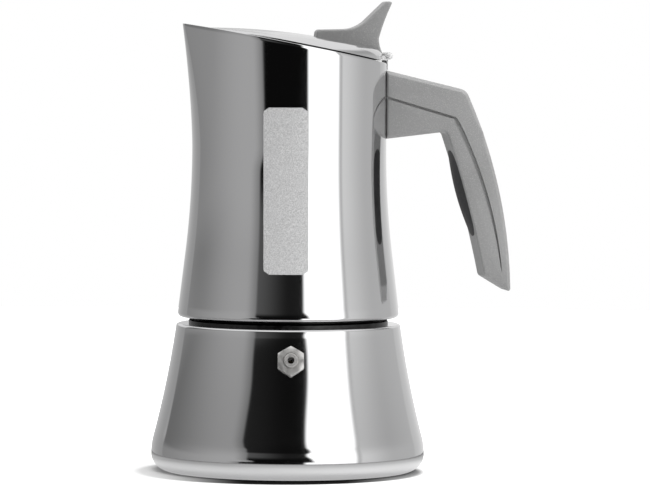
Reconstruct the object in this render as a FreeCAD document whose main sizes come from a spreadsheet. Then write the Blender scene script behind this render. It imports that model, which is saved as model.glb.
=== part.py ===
"""Stovetop moka pot in stainless steel with a moulded handle, in millimetres.

The pot stands on the XY plane with its axis on Z. The spout points along -X, the
hinge and the handle along +X, and the safety valve faces -Y.
"""
import FreeCAD, Part
import math
import os
import re
import Sketcher
from FreeCAD import Vector

SIZES = {
    # boiler: its wall is an arc that would be narrowest at boiler_curve_height
    "boiler_curve": 380.0,
    "boiler_curve_height": 109.0,
    "boiler_curve_radius": 39.24,
    "boiler_wall": 1.0,
    "boiler_floor": 1.5,
    "bulge_start": 12.7,
    "bulge_height": 7.0,
    "bulge_round": 24.6,
    "bulge": 0.75,
    "foot_round": 7.0,
    "foot_inset": 5.2,
    "shoulder_height": 55.5,
    "shoulder_round": 2.0,
    "shoulder_rise": 0.4,
    "thread_radius": 34.7,
    "neck_rise": 11.7,
    "neck_wall": 2.4,
    "neck_chamfer": 0.6,
    # safety valve, below the shoulder, measured along its own axis from the boiler's wall
    "valve_drop": 11.0,
    "valve_turn": -5.8,
    "valve_flats": 9.8,
    "valve_head": 3.0,
    "valve_boss_radius": 2.55,
    "valve_boss": 1.5,
    "valve_hole_radius": 1.25,
    "valve_thread_radius": 3.6,
    "valve_shank": 6.0,
    "valve_bore_radius": 2.25,
    "valve_lip": 0.6,
    "valve_washer_rim": 1.2,
    "valve_washer_wall": 0.6,
    "valve_nut_flats": 11.0,
    "valve_nut_wall": 2.6,
    "valve_seat_wall": 1.0,
    "valve_seat_hole": 1.0,
    "poppet_gap": 0.35,
    "poppet_head": 1.0,
    "poppet_stem_radius": 0.7,
    "poppet_stem": 4.0,
    "spring_gap": 0.4,
    "spring_wire": 0.4,
    "spring_turns": 4.0,
    # funnel
    "funnel_gap": 0.5,
    "funnel_wall": 0.6,
    "flange_lap": 1.7,
    "flange_wall": 0.8,
    "sieve_depth": 20.8,
    "sieve_ledge": 1.0,
    "sieve_wall": 0.6,
    "cone_drop": 6.9,
    "collar_length": 4.0,
    "stem_radius": 5.5,
    "stem_wall": 0.6,
    "stem_clearance": 3.0,
    "stem_slot": 3.0,
    # sieve holes, in rings
    "hole_radius": 0.9,
    "hole_pitch": 6.4,
    # gasket and filter plate
    "gasket_wall": 3.2,
    "gasket_width": 7.1,
    "gasket_gap": 0.4,
    "gasket_round": 0.5,
    "plate_gap": 1.2,
    "plate_wall": 0.6,
    "plate_dish": 0.9,
    "plate_dish_inset": 3.5,
    # collector: a cone up to the bend, then an arc that is upright at the waist
    "collector_wall": 0.8,
    "skirt_gap": 3.3,
    "skirt_round": 1.7,
    "hem_width": 3.0,
    "bend_rise": 24.9,
    "waist_rise": 39.8,
    "waist_radius": 37.17,
    "waist_curve": 330.0,
    "spout_pull": 4.43,
    "spout_round": 4.5,
    "spout_split": 32.0,
    "spout_growth": 1.6,
    "blank_rise": 50.0,
    "rim_rise": 40.16,
    "rim_tilt": 10.2,
    "thread_clearance": 0.3,
    "ring_wall": 1.6,
    "ring_inset": 0.8,
    "weld_gap": 0.05,
    # collector floor, column and cap
    "floor_flat": 4.6,
    "floor_wall": 1.0,
    "floor_rise": 8.0,
    "spigot_radius": 6.6,
    "spigot_wall": 0.7,
    "spigot_height": 4.0,
    "column_gap": 0.2,
    "column_wall": 0.9,
    "column_top_radius": 5.6,
    "column_height": 55.0,
    "cap_gap": 0.1,
    "cap_wall": 0.7,
    "cap_lap": 5.0,
    "cap_height": 6.5,
    "cap_window": 3.0,
    "cap_window_width": 6.0,
    # lid, in its own frame: origin at the middle of its edge, tilted about Y
    "lid_centre": 0.33,
    "lid_lift": 0.34,
    "lid_tilt": 7.7,
    "lid_gap": 0.37,
    "lid_edge": 1.1,
    "lid_curve": 180.0,
    "lid_wall": 0.7,
    "lid_flange": 2.0,
    # hinge
    "hinge_offset": 1.45,
    "hinge_radius": 1.4,
    "pin_radius": 0.8,
    "pin_gap": 0.05,
    "pin_head_radius": 1.15,
    "pin_head": 0.6,
    "bracket_knuckle": 3.2,
    "lid_knuckle": 7.0,
    "knuckle_gap": 0.3,
    "leaf_wall": 0.8,
    "leaf_drop": 4.8,
    "lid_leaf_lap": 8.0,
    "lid_leaf_gap": 0.12,
    # lid knob, in the lid's frame, measured back from the hinge
    "knob_back_gap": 1.9,
    "knob_waist_gap": 4.1,
    "knob_waist_height": 6.2,
    "knob_waist_round": 12.0,
    "knob_back_round": 80.0,
    "knob_heel_gap": 0.8,
    "knob_tip_length": 2.3,
    "knob_tip_height": 20.4,
    "knob_tip_round": 1.9,
    "knob_lean_length": 6.0,
    "knob_lean_height": 7.3,
    "knob_sweep_length": 8.1,
    "knob_sweep_height": 5.2,
    "knob_sweep_round": 13.1,
    "knob_tongue_length": 9.2,
    "knob_tongue_height": 1.7,
    "knob_nose_length": 1.4,
    "knob_nose_height": 1.3,
    "knob_nose_round": 1.6,
    "knob_width": 12.6,
    "knob_nose_width": 9.0,
    "knob_bevel": 0.8,
    "knob_seat_gap": 0.05,
    "knob_screw_place": 22.0,
    "knob_screw_radius": 2.0,
    "knob_screw_gap": 0.1,
    "knob_screw_bite": 3.8,
    "knob_screw_head_radius": 3.5,
    "knob_screw_head": 2.0,
    "knob_washer_radius": 4.6,
    "knob_washer_wall": 0.6,
    # handle, measured out from the wall at the waist and up from the waist
    "handle_width": 18.0,
    "handle_gap": 0.1,
    "handle_root": 5.0,
    "handle_top": 29.8,
    "handle_under": 3.1,
    "elbow_out": 30.1,
    "elbow_up": 22.6,
    "elbow_round": 3.0,
    "grip_curve": 191.0,
    "toe_out": 48.0,
    "toe_down": 55.2,
    "toe_round": 2.0,
    "heel_out": 37.6,
    "heel_down": 49.0,
    "crotch_out": 22.5,
    "crotch_up": 6.6,
    "crotch_round": 2.0,
    "grip_inner_curve": 450.0,
    "edge_bevel": 1.4,
    "inner_bevel": 0.6,
    "end_bevel": 0.9,
    "groove_width": 0.7,
    "groove_depth": 0.5,
    "groove_start_up": 21.2,
    "groove_bend_out": 26.0,
    "groove_bend_up": 12.2,
    "groove_curve": 165.0,
    "groove_end_out": 44.2,
    "groove_end_down": 47.4,
    # soft insert in the grip, measured down the grip's inner edge from the arm
    "insert_start": 7.7,
    "insert_length": 34.2,
    "insert_shift": 0.4,
    "insert_depth": 2.8,
    "insert_swell": 1.6,
    "insert_lip": 1.0,
    "insert_gap": 0.1,
    # handle bracket and screw
    "bracket_wall": 1.2,
    "bracket_height": 14.0,
    "bracket_width": 12.0,
    "tongue_up": 16.5,
    "tongue_wall": 4.0,
    "tongue_width": 8.0,
    "tongue_length": 16.8,
    "socket_gap": 0.3,
    "screw_out": 9.8,
    "screw_radius": 2.0,
    "screw_gap": 0.1,
    "screw_floor": 6.6,
    "screw_bite": 3.5,
    "screw_head_radius": 3.6,
    "screw_head": 2.4,
}

# Heights of the stack, each one built on the piece that carries it.
NECK_TOP = "(shoulder_height + neck_rise)"
VALVE_Z = "(shoulder_height - valve_drop)"
MOUTH = "(thread_radius - neck_wall)"
SIEVE = f"({NECK_TOP} - sieve_depth)"
CONE = f"({SIEVE} - cone_drop)"
GASKET_BOTTOM = f"({NECK_TOP} + flange_wall)"
PLATE_BOTTOM = f"({GASKET_BOTTOM} + gasket_wall)"
FLOOR_BOTTOM = f"({PLATE_BOTTOM} + plate_wall)"
RING_BORE = "(thread_radius + thread_clearance)"
SKIRT = "(shoulder_height + skirt_gap)"
BEND = f"({SKIRT} + bend_rise)"
WAIST = f"({BEND} + waist_rise)"
RIM = f"({WAIST} + rim_rise)"
LID_Z = f"({RIM} + lid_lift)"
BEND_RADIUS = "(waist_radius + waist_curve - sqrt(waist_curve^2 - waist_rise^2))"
SPOUT_REACH = "(waist_radius + spout_pull)"
LID_RADIUS = "(waist_radius - collector_wall - lid_gap)"
LID_RISE = f"(lid_edge + lid_curve - sqrt(lid_curve^2 - {LID_RADIUS}^2))"
HINGE_U = f"({LID_RADIUS} + hinge_offset)"
HINGE_X = f"(lid_centre + {HINGE_U} * cos(lid_tilt * 1 deg))"
HINGE_Z = f"({LID_Z} - {HINGE_U} * sin(lid_tilt * 1 deg))"
HINGE_WIDTH = "(lid_knuckle + 2 * knuckle_gap + 2 * bracket_knuckle)"
TONGUE_Z = f"({WAIST} + tongue_up - tongue_wall / 2)"
SCREW_SEAT = f"({TONGUE_Z} - screw_floor)"
GRIP_LENGTH = "sqrt((heel_out - crotch_out)^2 + (crotch_up + heel_down)^2)"
GRIP_RUN = f"((heel_out - crotch_out) / {GRIP_LENGTH})"
GRIP_FALL = f"((crotch_up + heel_down) / {GRIP_LENGTH})"

doc = FreeCAD.newDocument("MokaPot")
sheet = doc.addObject("Spreadsheet::Sheet", "Sizes")
for row, (size_name, size_value) in enumerate(SIZES.items(), start=1):
    sheet.set(f"A{row}", size_name)
    sheet.set(f"B{row}", str(size_value))
    sheet.setAlias(f"B{row}", size_name)
doc.recompute()

pieces = []


# ---- sizes and expressions ----------------------------------------------------------

def bound(text):
    """The expression with each size name pointing at its cell of the sheet."""
    def cell(word):
        return f"Sizes.{word[0]}" if word[0] in SIZES else word[0]
    return re.sub(r"[a-z][a-z_0-9]*", cell, text)


def value(text):
    """What the expression gives now, as a plain number."""
    return float(sheet.evalExpression(bound(text)))


def tie(thing, path, text):
    """Bind one property or constraint to the sheet."""
    thing.setExpression(path, bound(text))


def boiler_radius(height):
    """Expression of the boiler's outer radius at a height on its curved wall."""
    rise = f"(boiler_curve_height - ({height}))"
    return f"(boiler_curve_radius + boiler_curve - sqrt(boiler_curve^2 - {rise}^2))"


def cone_radius(height):
    """Expression of the collector's outer radius at a height below the bend."""
    slope = "tan(asin(waist_rise / waist_curve))"
    return f"({BEND_RADIUS} + ({BEND} - ({height})) * {slope})"


def dome_height(across, depth="0"):
    """Expression of a height on the lid's dome, in the lid's frame, at a depth below its top."""
    sphere = f"sqrt((lid_curve - {depth})^2 - ({across})^2)"
    return f"({LID_RISE} - lid_curve + {sphere})"


# ---- sketches -----------------------------------------------------------------------

def plane(body, role):
    return next(item for item in body.Origin.OriginFeatures if item.Role == role)


def new_sketch(body, name, role, offset=None):
    """A sketch on one of the body's origin planes, or parallel to it at an offset."""
    sketch = body.newObject("Sketcher::SketchObject", name)
    sketch.AttachmentSupport = [(plane(body, role), "")]
    sketch.MapMode = "FlatFace"
    if offset is not None:
        tie(sketch, "AttachmentOffset.Base.z", offset)
    return sketch


def fix(sketch, kind, *place):
    """Add one dimension to a sketch and tie it to the sheet; the last item is its text."""
    *where, text = place
    index = sketch.addConstraint(Sketcher.Constraint(kind, *where, value(text)))
    tie(sketch, f"Constraints[{index}]", text)


def fix_point(sketch, edge, end, across, up):
    fix(sketch, "DistanceX", -1, 1, edge, end, across)
    fix(sketch, "DistanceY", -1, 1, edge, end, up)


def add_circle(sketch, across, up, radius):
    centre = Vector(value(across), value(up), 0)
    edge = sketch.addGeometry(Part.Circle(centre, Vector(0, 0, 1), value(radius)), False)
    fix_point(sketch, edge, 3, across, up)
    fix(sketch, "Radius", edge, radius)


def add_outline(sketch, corners):
    """A closed outline through the corners, each one tied to the sheet.

    A corner is (across, up) or (across, up, radius). A radius makes the edge that
    arrives there an arc; it turns left, or right when the radius starts with a minus.
    """
    points = [Vector(value(corner[0]), value(corner[1]), 0) for corner in corners]
    ends = []
    for index, corner in enumerate(corners):
        start, stop = points[index - 1], points[index]
        if len(corner) == 2:
            edge = sketch.addGeometry(Part.LineSegment(start, stop), False)
            ends.append((edge, 1, 2))
            continue
        turn = -1 if corner[2].startswith("-") else 1
        radius = value(corner[2].lstrip("-"))
        edge = sketch.addGeometry(arc_between(start, stop, radius, turn), False)
        ends.append((edge, 1, 2) if turn > 0 else (edge, 2, 1))
        fix(sketch, "Radius", edge, corner[2].lstrip("-"))
    for index, corner in enumerate(corners):
        edge, _, stop_end = ends[index]
        next_edge, next_start, _ = ends[(index + 1) % len(corners)]
        sketch.addConstraint(
            Sketcher.Constraint("Coincident", edge, stop_end, next_edge, next_start))
        fix_point(sketch, edge, stop_end, corner[0], corner[1])


def arc_between(start, stop, radius, turn):
    """The short arc of a radius from start to stop, turning left (1) or right (-1)."""
    chord = stop - start
    left = Vector(-chord.y, chord.x, 0).normalize() * turn
    centre = (start + stop) * 0.5 + left * math.sqrt(radius**2 - chord.Length**2 / 4)
    first, last = (start, stop) if turn > 0 else (stop, start)
    angle = [math.atan2(point.y - centre.y, point.x - centre.x) for point in (first, last)]
    return Part.ArcOfCircle(Part.Circle(centre, Vector(0, 0, 1), radius), *angle)


def add_polygon(sketch, sides, flats):
    """A regular polygon about the origin, with two flats upright."""
    corner = f"({flats}) / 2 / cos(180 deg / {sides})"
    places = []
    for index in range(sides):
        angle = f"({index} * 360 deg / {sides} + 30 deg)"
        places.append((f"{corner} * cos({angle})", f"{corner} * sin({angle})"))
    add_outline(sketch, places)


# ---- features -----------------------------------------------------------------------

def new_body(name):
    body = doc.addObject("PartDesign::Body", name)
    body.Label = name
    pieces.append(body)
    return body


def feature(body, kind, name, sketch):
    item = body.newObject(f"PartDesign::{kind}", name)
    item.Profile = sketch
    return item


def revolve(body, sketch, angle=None):
    turned = feature(body, "Revolution", f"{sketch.Name}_turned", sketch)
    turned.ReferenceAxis = (sketch, ["V_Axis"])
    turned.Angle = 360
    if angle is not None:
        turned.Midplane = True
        tie(turned, "Angle", angle)
    return turned


def groove(body, sketch):
    cut = feature(body, "Groove", f"{sketch.Name}_groove", sketch)
    cut.ReferenceAxis = (sketch, ["V_Axis"])
    cut.Angle = 360
    return cut


def pad(body, sketch, length, both_sides=False):
    raised = feature(body, "Pad", f"{sketch.Name}_pad", sketch)
    raised.SideType = "Symmetric" if both_sides else "One side"
    tie(raised, "Length", length)
    return raised


def pocket(body, sketch, length, both_sides=False):
    """Cut a sketch against its plane's normal, or equally to both sides of its plane."""
    cut = feature(body, "Pocket", f"{sketch.Name}_cut", sketch)
    cut.SideType = "Symmetric" if both_sides else "One side"
    tie(cut, "Length", length)
    return cut


def turned_piece(name, corners):
    """A piece that is one outline turned about Z."""
    body = new_body(name)
    sketch = new_sketch(body, f"{name}_outline", "XZ_Plane")
    add_outline(sketch, corners)
    revolve(body, sketch)
    return body


def bevel(body, name, size, wanted):
    """Chamfer the edges of the body for which wanted(edge) holds."""
    doc.recompute()
    tip = body.Tip
    names = [f"Edge{i}" for i, edge in enumerate(tip.Shape.Edges, start=1) if wanted(edge)]
    cut = body.newObject("PartDesign::Chamfer", name)
    cut.Base = (tip, names)
    tie(cut, "Size", size)
    return cut


def soften(body, name, size, wanted):
    """Fillet the edges of the body for which wanted(edge) holds."""
    doc.recompute()
    tip = body.Tip
    names = [f"Edge{i}" for i, edge in enumerate(tip.Shape.Edges, start=1) if wanted(edge)]
    rounded = body.newObject("PartDesign::Fillet", name)
    rounded.Base = (tip, names)
    tie(rounded, "Radius", size)
    return rounded


def perforate(body, rings, height):
    """Cut a hole on the axis and rings of holes round it, six more in each ring."""
    for ring in range(rings + 1):
        sketch = new_sketch(body, f"{body.Label}_hole_{ring}", "XY_Plane", height)
        corners = []
        for index in range(6):
            angle = f"({index} * 60 deg)"
            corners.append((f"{ring} * hole_pitch + hole_radius * cos({angle})",
                            f"hole_radius * sin({angle})"))
        add_outline(sketch, corners)
        hole = pocket(body, sketch, "gasket_wall", both_sides=True)
        if ring:
            pattern = body.newObject("PartDesign::PolarPattern", f"{body.Label}_ring_{ring}")
            pattern.Originals = [hole]
            pattern.Axis = (plane(body, "Z_Axis"), [""])
            pattern.Angle = 360
            pattern.Occurrences = 6 * ring
            body.Tip = pattern


VALVE_REACH = boiler_radius(VALVE_Z)
VALVE_TILT = f"asin((boiler_curve_height - {VALVE_Z}) / boiler_curve)"


def place_on_valve_axis(body):
    """Stand a piece on the boiler's wall, its own Z along the safety valve's axis."""
    tie(body, "Placement",
        f"placement(vector({VALVE_REACH} * sin(valve_turn * 1 deg);"
        f" -{VALVE_REACH} * cos(valve_turn * 1 deg); {VALVE_Z});"
        f" rotation(vector(0; 0; 1); valve_turn * 1 deg)"
        f" * rotation(vector(1; 0; 0); 90 deg - {VALVE_TILT}))")


LID_PLACE = (f"placement(vector(lid_centre; 0; {LID_Z});"
             " rotation(vector(0; 1; 0); lid_tilt * 1 deg))")
SCREW_ON_DOME = (f"placement(vector(knob_screw_place; 0; {dome_height('knob_screw_place')});"
                 " rotation(vector(0; 1; 0); asin(knob_screw_place / lid_curve)))")


# ---- boiler -------------------------------------------------------------------------

def make_boiler_shell():
    wall_top = "shoulder_height - shoulder_round"
    inner_top = "shoulder_height - boiler_wall"
    shoulder = boiler_radius(wall_top)
    low = boiler_radius("bulge_start")
    widest = f"({low} + bulge)"
    foot = f"({widest} - foot_inset)"
    body = turned_piece("boiler_shell", [
        ("0", "0"),
        (foot, "0"),
        (widest, "bulge_height", "foot_round"),
        (low, "bulge_start", "bulge_round"),
        (shoulder, wall_top, "-boiler_curve"),
        (f"{shoulder} - shoulder_round", "shoulder_height", "shoulder_round"),
        ("thread_radius", "shoulder_height + shoulder_rise"),
        ("thread_radius", f"{NECK_TOP} - neck_chamfer"),
        ("thread_radius - neck_chamfer", NECK_TOP),
        (MOUTH, NECK_TOP),
        (MOUTH, inner_top),
        (f"{shoulder} - shoulder_round", inner_top),
        (f"{shoulder} - boiler_wall", wall_top, "-(shoulder_round - boiler_wall)"),
        (f"{low} - boiler_wall", "bulge_start", "(boiler_curve + boiler_wall)"),
        (f"{widest} - boiler_wall", "bulge_height", "-(bulge_round - boiler_wall)"),
        (foot, "boiler_floor", "-(foot_round - boiler_wall)"),
        ("0", "boiler_floor"),
    ])
    sketch = new_sketch(body, "valve_hole", "XZ_Plane")
    add_circle(sketch, "0", "0", "valve_thread_radius + weld_gap")
    tie(sketch, "AttachmentOffset",
        f"placement(vector({VALVE_REACH} * sin(valve_turn * 1 deg); {VALVE_Z};"
        f" {VALVE_REACH} * cos(valve_turn * 1 deg));"
        f" rotation(vector(0; 1; 0); valve_turn * 1 deg)"
        f" * rotation(vector(1; 0; 0); -{VALVE_TILT}))")
    pocket(body, sketch, "2 * valve_shank", both_sides=True)


def make_valve():
    """Safety valve: the hexagon outside the wall, its works in the bore behind it."""
    face = "(valve_washer_wall + valve_head)"
    body = new_body("valve_body")
    head = new_sketch(body, "valve_hexagon", "XY_Plane", "valve_washer_wall")
    add_polygon(head, 6, "valve_flats")
    pad(body, head, "valve_head")
    spindle = new_sketch(body, "valve_spindle", "XZ_Plane")
    add_outline(spindle, [
        ("0", "-valve_shank"),
        ("valve_thread_radius", "-valve_shank"),
        ("valve_thread_radius", "valve_washer_wall"),
        ("valve_boss_radius", "valve_washer_wall"),
        ("valve_boss_radius", f"{face} + valve_boss"),
        ("0", f"{face} + valve_boss"),
    ])
    revolve(body, spindle)
    bore = new_sketch(body, "valve_bore", "XZ_Plane")
    add_outline(bore, [
        ("0", "-2 * valve_shank"),
        ("valve_bore_radius", "-2 * valve_shank"),
        ("valve_bore_radius", f"{face} - valve_lip"),
        ("valve_hole_radius", f"{face} - valve_lip"),
        ("valve_hole_radius", f"{face} + 2 * valve_boss"),
        ("0", f"{face} + 2 * valve_boss"),
    ])
    groove(body, bore)
    corners = new_sketch(body, "valve_corner_turning", "XZ_Plane")
    add_outline(corners, [
        ("valve_flats / 2", face),
        ("valve_flats", face),
        ("valve_flats", f"{face} - valve_flats / 4"),
    ])
    groove(body, corners)

    shank_bore = "valve_thread_radius + weld_gap"
    turned_piece("valve_washer", [
        (shank_bore, "weld_gap"),
        ("valve_thread_radius + valve_washer_rim", "weld_gap"),
        ("valve_thread_radius + valve_washer_rim", "valve_washer_wall"),
        (shank_bore, "valve_washer_wall"),
    ])
    nut = new_body("valve_nut")
    hollow = f"valve_nut_flats^2 / 6 / ({VALVE_REACH} - boiler_wall)"
    nut_bottom = f"-(boiler_wall + weld_gap + {hollow} + valve_nut_wall)"
    sketch = new_sketch(nut, "valve_nut_outline", "XY_Plane", nut_bottom)
    add_polygon(sketch, 6, "valve_nut_flats")
    add_circle(sketch, "0", "0", shank_bore)
    pad(nut, sketch, "valve_nut_wall")

    seat_top = "(valve_seat_wall - valve_shank)"
    turned_piece("valve_seat", [
        ("valve_seat_hole", "-valve_shank"),
        ("valve_bore_radius", "-valve_shank"),
        ("valve_bore_radius", seat_top),
        ("valve_seat_hole", seat_top),
    ])
    head_top = f"({seat_top} + poppet_head)"
    turned_piece("valve_poppet", [
        ("0", seat_top),
        ("valve_bore_radius - poppet_gap", seat_top),
        ("valve_bore_radius - poppet_gap", head_top),
        ("poppet_stem_radius", head_top),
        ("poppet_stem_radius", f"{head_top} + poppet_stem"),
        ("0", f"{head_top} + poppet_stem"),
    ])
    spring = new_body("valve_spring")
    wire = new_sketch(spring, "valve_spring_wire", "XZ_Plane")
    coil_radius = "(valve_bore_radius - spring_gap)"
    add_outline(wire, [
        (f"{coil_radius} - spring_wire", head_top),
        (coil_radius, head_top),
        (coil_radius, f"{head_top} + spring_wire"),
        (f"{coil_radius} - spring_wire", f"{head_top} + spring_wire"),
    ])
    coil = feature(spring, "AdditiveHelix", "valve_spring_coil", wire)
    coil.ReferenceAxis = (wire, ["V_Axis"])
    coil.Mode = "height-turns-angle"
    tie(coil, "Turns", "spring_turns")
    tie(coil, "Height", f"{face} - valve_lip - {head_top} - spring_wire")
    for name in ("valve_body", "valve_washer", "valve_nut", "valve_seat", "valve_poppet",
                 "valve_spring"):
        place_on_valve_axis(doc.getObject(name))


# ---- funnel -------------------------------------------------------------------------

def make_funnel():
    cup = f"({MOUTH} - funnel_gap)"
    cup_bore = f"({cup} - funnel_wall)"
    collar_bore = "(stem_radius + weld_gap)"
    turned_piece("funnel_cup", [
        (f"{MOUTH} + flange_lap", NECK_TOP),
        (f"{MOUTH} + flange_lap", GASKET_BOTTOM),
        (cup_bore, GASKET_BOTTOM),
        (cup_bore, SIEVE),
        (f"{cup_bore} - sieve_ledge", SIEVE),
        (collar_bore, CONE),
        (collar_bore, f"{CONE} - collar_length"),
        (f"{collar_bore} + funnel_wall", f"{CONE} - collar_length"),
        (f"{collar_bore} + funnel_wall", f"{CONE} - funnel_wall"),
        (cup, f"{SIEVE} - 2 * funnel_wall"),
        (cup, NECK_TOP),
    ])
    stem_bottom = "(boiler_floor + stem_clearance)"
    stem = turned_piece("funnel_stem", [
        ("stem_radius - stem_wall", stem_bottom),
        ("stem_radius", stem_bottom),
        ("stem_radius", CONE),
        ("stem_radius - stem_wall", CONE),
    ])
    slot = new_sketch(stem, "stem_slot_outline", "XZ_Plane")
    add_outline(slot, [
        ("-stem_slot / 2", f"{stem_bottom} - stem_slot"),
        ("stem_slot / 2", f"{stem_bottom} - stem_slot"),
        ("stem_slot / 2", f"{stem_bottom} + stem_slot"),
        ("-stem_slot / 2", f"{stem_bottom} + stem_slot"),
    ])
    pocket(stem, slot, "4 * stem_radius", both_sides=True)
    sieve = turned_piece("funnel_sieve", [
        ("0", SIEVE),
        (f"{cup_bore} - weld_gap", SIEVE),
        (f"{cup_bore} - weld_gap", f"{SIEVE} + sieve_wall"),
        ("0", f"{SIEVE} + sieve_wall"),
    ])
    perforate(sieve, 3, SIEVE)


# ---- gasket and filter plate --------------------------------------------------------

def make_filter_set():
    outer = f"({RING_BORE} - gasket_gap)"
    bore = f"({outer} - gasket_width)"
    turned_piece("gasket", [
        (bore, GASKET_BOTTOM),
        (f"{outer} - gasket_round", GASKET_BOTTOM),
        (outer, f"{GASKET_BOTTOM} + gasket_round", "gasket_round"),
        (outer, f"{PLATE_BOTTOM} - gasket_round"),
        (f"{outer} - gasket_round", PLATE_BOTTOM, "gasket_round"),
        (bore, PLATE_BOTTOM),
    ])
    dish = f"({bore} - plate_dish_inset)"
    plate = turned_piece("filter_plate", [
        ("0", f"{PLATE_BOTTOM} + plate_dish"),
        (dish, f"{PLATE_BOTTOM} + plate_dish"),
        (f"{dish} + 2 * plate_dish", PLATE_BOTTOM),
        (f"{RING_BORE} - plate_gap", PLATE_BOTTOM),
        (f"{RING_BORE} - plate_gap", FLOOR_BOTTOM),
        (f"{dish} + 2 * plate_dish", FLOOR_BOTTOM),
        (dish, f"{FLOOR_BOTTOM} + plate_dish"),
        ("0", f"{FLOOR_BOTTOM} + plate_dish"),
    ])
    perforate(plate, 3, f"{PLATE_BOTTOM} + plate_dish")


# ---- collector ----------------------------------------------------------------------

def round_section(body, name, height, radius):
    """The wall's circle in four arcs, split where the spout's sections are split."""
    sketch = new_sketch(body, name, "XY_Plane", height)
    split = 180 - value("spout_split")
    nose = split + value("spout_split") / 3
    angles = [-split, split, nose, 360 - nose, 360 - split]
    circle = Part.Circle(Vector(0, 0, 0), Vector(0, 0, 1), value(radius))
    for start, stop in zip(angles, angles[1:]):
        sketch.addGeometry(Part.ArcOfCircle(circle, math.radians(start), math.radians(stop)))
    for edge in range(4):
        sketch.addConstraint(Sketcher.Constraint("Coincident", edge, 2, (edge + 1) % 4, 1))
    for edge in range(3):
        sketch.addConstraint(Sketcher.Constraint("Coincident", edge, 3, -1, 1))
    for edge in (0, 3):
        fix(sketch, "Radius", edge, radius)
    fix(sketch, "DistanceX", -1, 1, 0, 2, f"-({radius}) * cos(spout_split * 1 deg)")
    fix(sketch, "DistanceX", -1, 1, 0, 1, f"-({radius}) * cos(spout_split * 1 deg)")
    for edge in (1, 2):
        nose_x = f"-({radius}) * cos(spout_split * 1 deg * 2 / 3)"
        fix(sketch, "DistanceX", -1, 1, edge, 2, nose_x)
    return sketch


def spout_section(body, name, height, radius, nose_x, nose_radius):
    """A drop: the wall's circle, a small nose circle, and side arcs tangent to both."""
    sketch = new_sketch(body, name, "XY_Plane", height)
    split = math.radians(value("spout_split"))
    wall, nose = value(radius), value(nose_radius)
    shift = value(nose_x)
    lead = (wall - nose)**2 - shift**2
    lead /= 2 * (shift * math.cos(split) - (wall - nose))
    centre = Vector(lead * math.cos(split), -lead * math.sin(split), 0)
    spread = math.atan2(-centre.y, centre.x + shift)
    upward = Vector(0, 0, 1)
    back = math.pi - split
    sketch.addGeometry(Part.ArcOfCircle(Part.Circle(Vector(), upward, wall), -back, back))
    sketch.addGeometry(Part.ArcOfCircle(
        Part.Circle(centre, upward, wall + lead), back, math.pi - spread))
    sketch.addGeometry(Part.ArcOfCircle(
        Part.Circle(Vector(-shift, 0, 0), upward, nose), math.pi - spread, math.pi + spread))
    mirrored = Vector(centre.x, -centre.y, 0)
    sketch.addGeometry(Part.ArcOfCircle(
        Part.Circle(mirrored, upward, wall + lead), math.pi + spread, 2 * math.pi - back))
    for edge in range(4):
        sketch.addConstraint(Sketcher.Constraint("Tangent", edge, 2, (edge + 1) % 4, 1))
    sketch.addConstraint(Sketcher.Constraint("Coincident", 0, 3, -1, 1))
    sketch.addConstraint(Sketcher.Constraint("PointOnObject", 2, 3, -1))
    fix(sketch, "Radius", 0, radius)
    fix(sketch, "DistanceX", -1, 1, 0, 2, f"-({radius}) * cos(spout_split * 1 deg)")
    fix(sketch, "DistanceX", -1, 1, 0, 1, f"-({radius}) * cos(spout_split * 1 deg)")
    fix(sketch, "DistanceX", -1, 1, 2, 3, f"-({nose_x})")
    fix(sketch, "Radius", 2, nose_radius)
    return sketch


SPOUT_STEPS = 3


def spout_loft(body, kind, inset):
    """Loft from the round waist to the pointed top, all of it moved in by inset."""
    radius = f"(waist_radius - {inset})"
    sections = [round_section(body, f"{kind}_0", WAIST, radius)]
    for step in range(1, SPOUT_STEPS + 1):
        share = f"({step} / {SPOUT_STEPS})"
        grown = f"({share}^spout_growth)"
        sections.append(spout_section(
            body, f"{kind}_{step}", f"{WAIST} + blank_rise * {share}", radius,
            f"({SPOUT_REACH} - spout_round) * {grown}",
            f"waist_radius - (waist_radius - spout_round) * {grown} - {inset}"))
    loft = feature(body, kind, f"{kind}_loft", sections[0])
    loft.Sections = sections[1:]
    return loft


def make_collector_body():
    body = new_body("collector_body")
    low = new_sketch(body, "collector_wall_outline", "XZ_Plane")
    round_top = f"({SKIRT} + skirt_round)"
    outer = cone_radius(round_top)
    add_outline(low, [
        (f"{outer} - hem_width", SKIRT),
        (f"{outer} - skirt_round", SKIRT),
        (outer, round_top, "skirt_round"),
        (BEND_RADIUS, BEND),
        ("waist_radius", WAIST, "-waist_curve"),
        ("waist_radius - collector_wall", WAIST),
        (f"{BEND_RADIUS} - collector_wall", BEND, "(waist_curve + collector_wall)"),
        (f"{outer} - collector_wall", round_top),
        (f"{outer} - skirt_round", f"{SKIRT} + collector_wall",
         "-(skirt_round - collector_wall)"),
        (f"{outer} - hem_width", f"{SKIRT} + collector_wall"),
    ])
    revolve(body, low)
    spout_loft(body, "AdditiveLoft", "0")
    spout_loft(body, "SubtractiveLoft", "collector_wall")
    rim = new_sketch(body, "rim_cut", "XZ_Plane")
    span = f"(2 * {SPOUT_REACH})"
    drop = f"{span} * tan(rim_tilt * 1 deg)"
    above = f"{WAIST} + 2 * blank_rise"
    add_outline(rim, [
        (f"-{span}", f"{RIM} + {drop}"),
        (span, f"{RIM} - {drop}"),
        (span, above),
        (f"-{span}", above),
    ])
    pocket(body, rim, "4 * waist_radius", both_sides=True)


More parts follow.
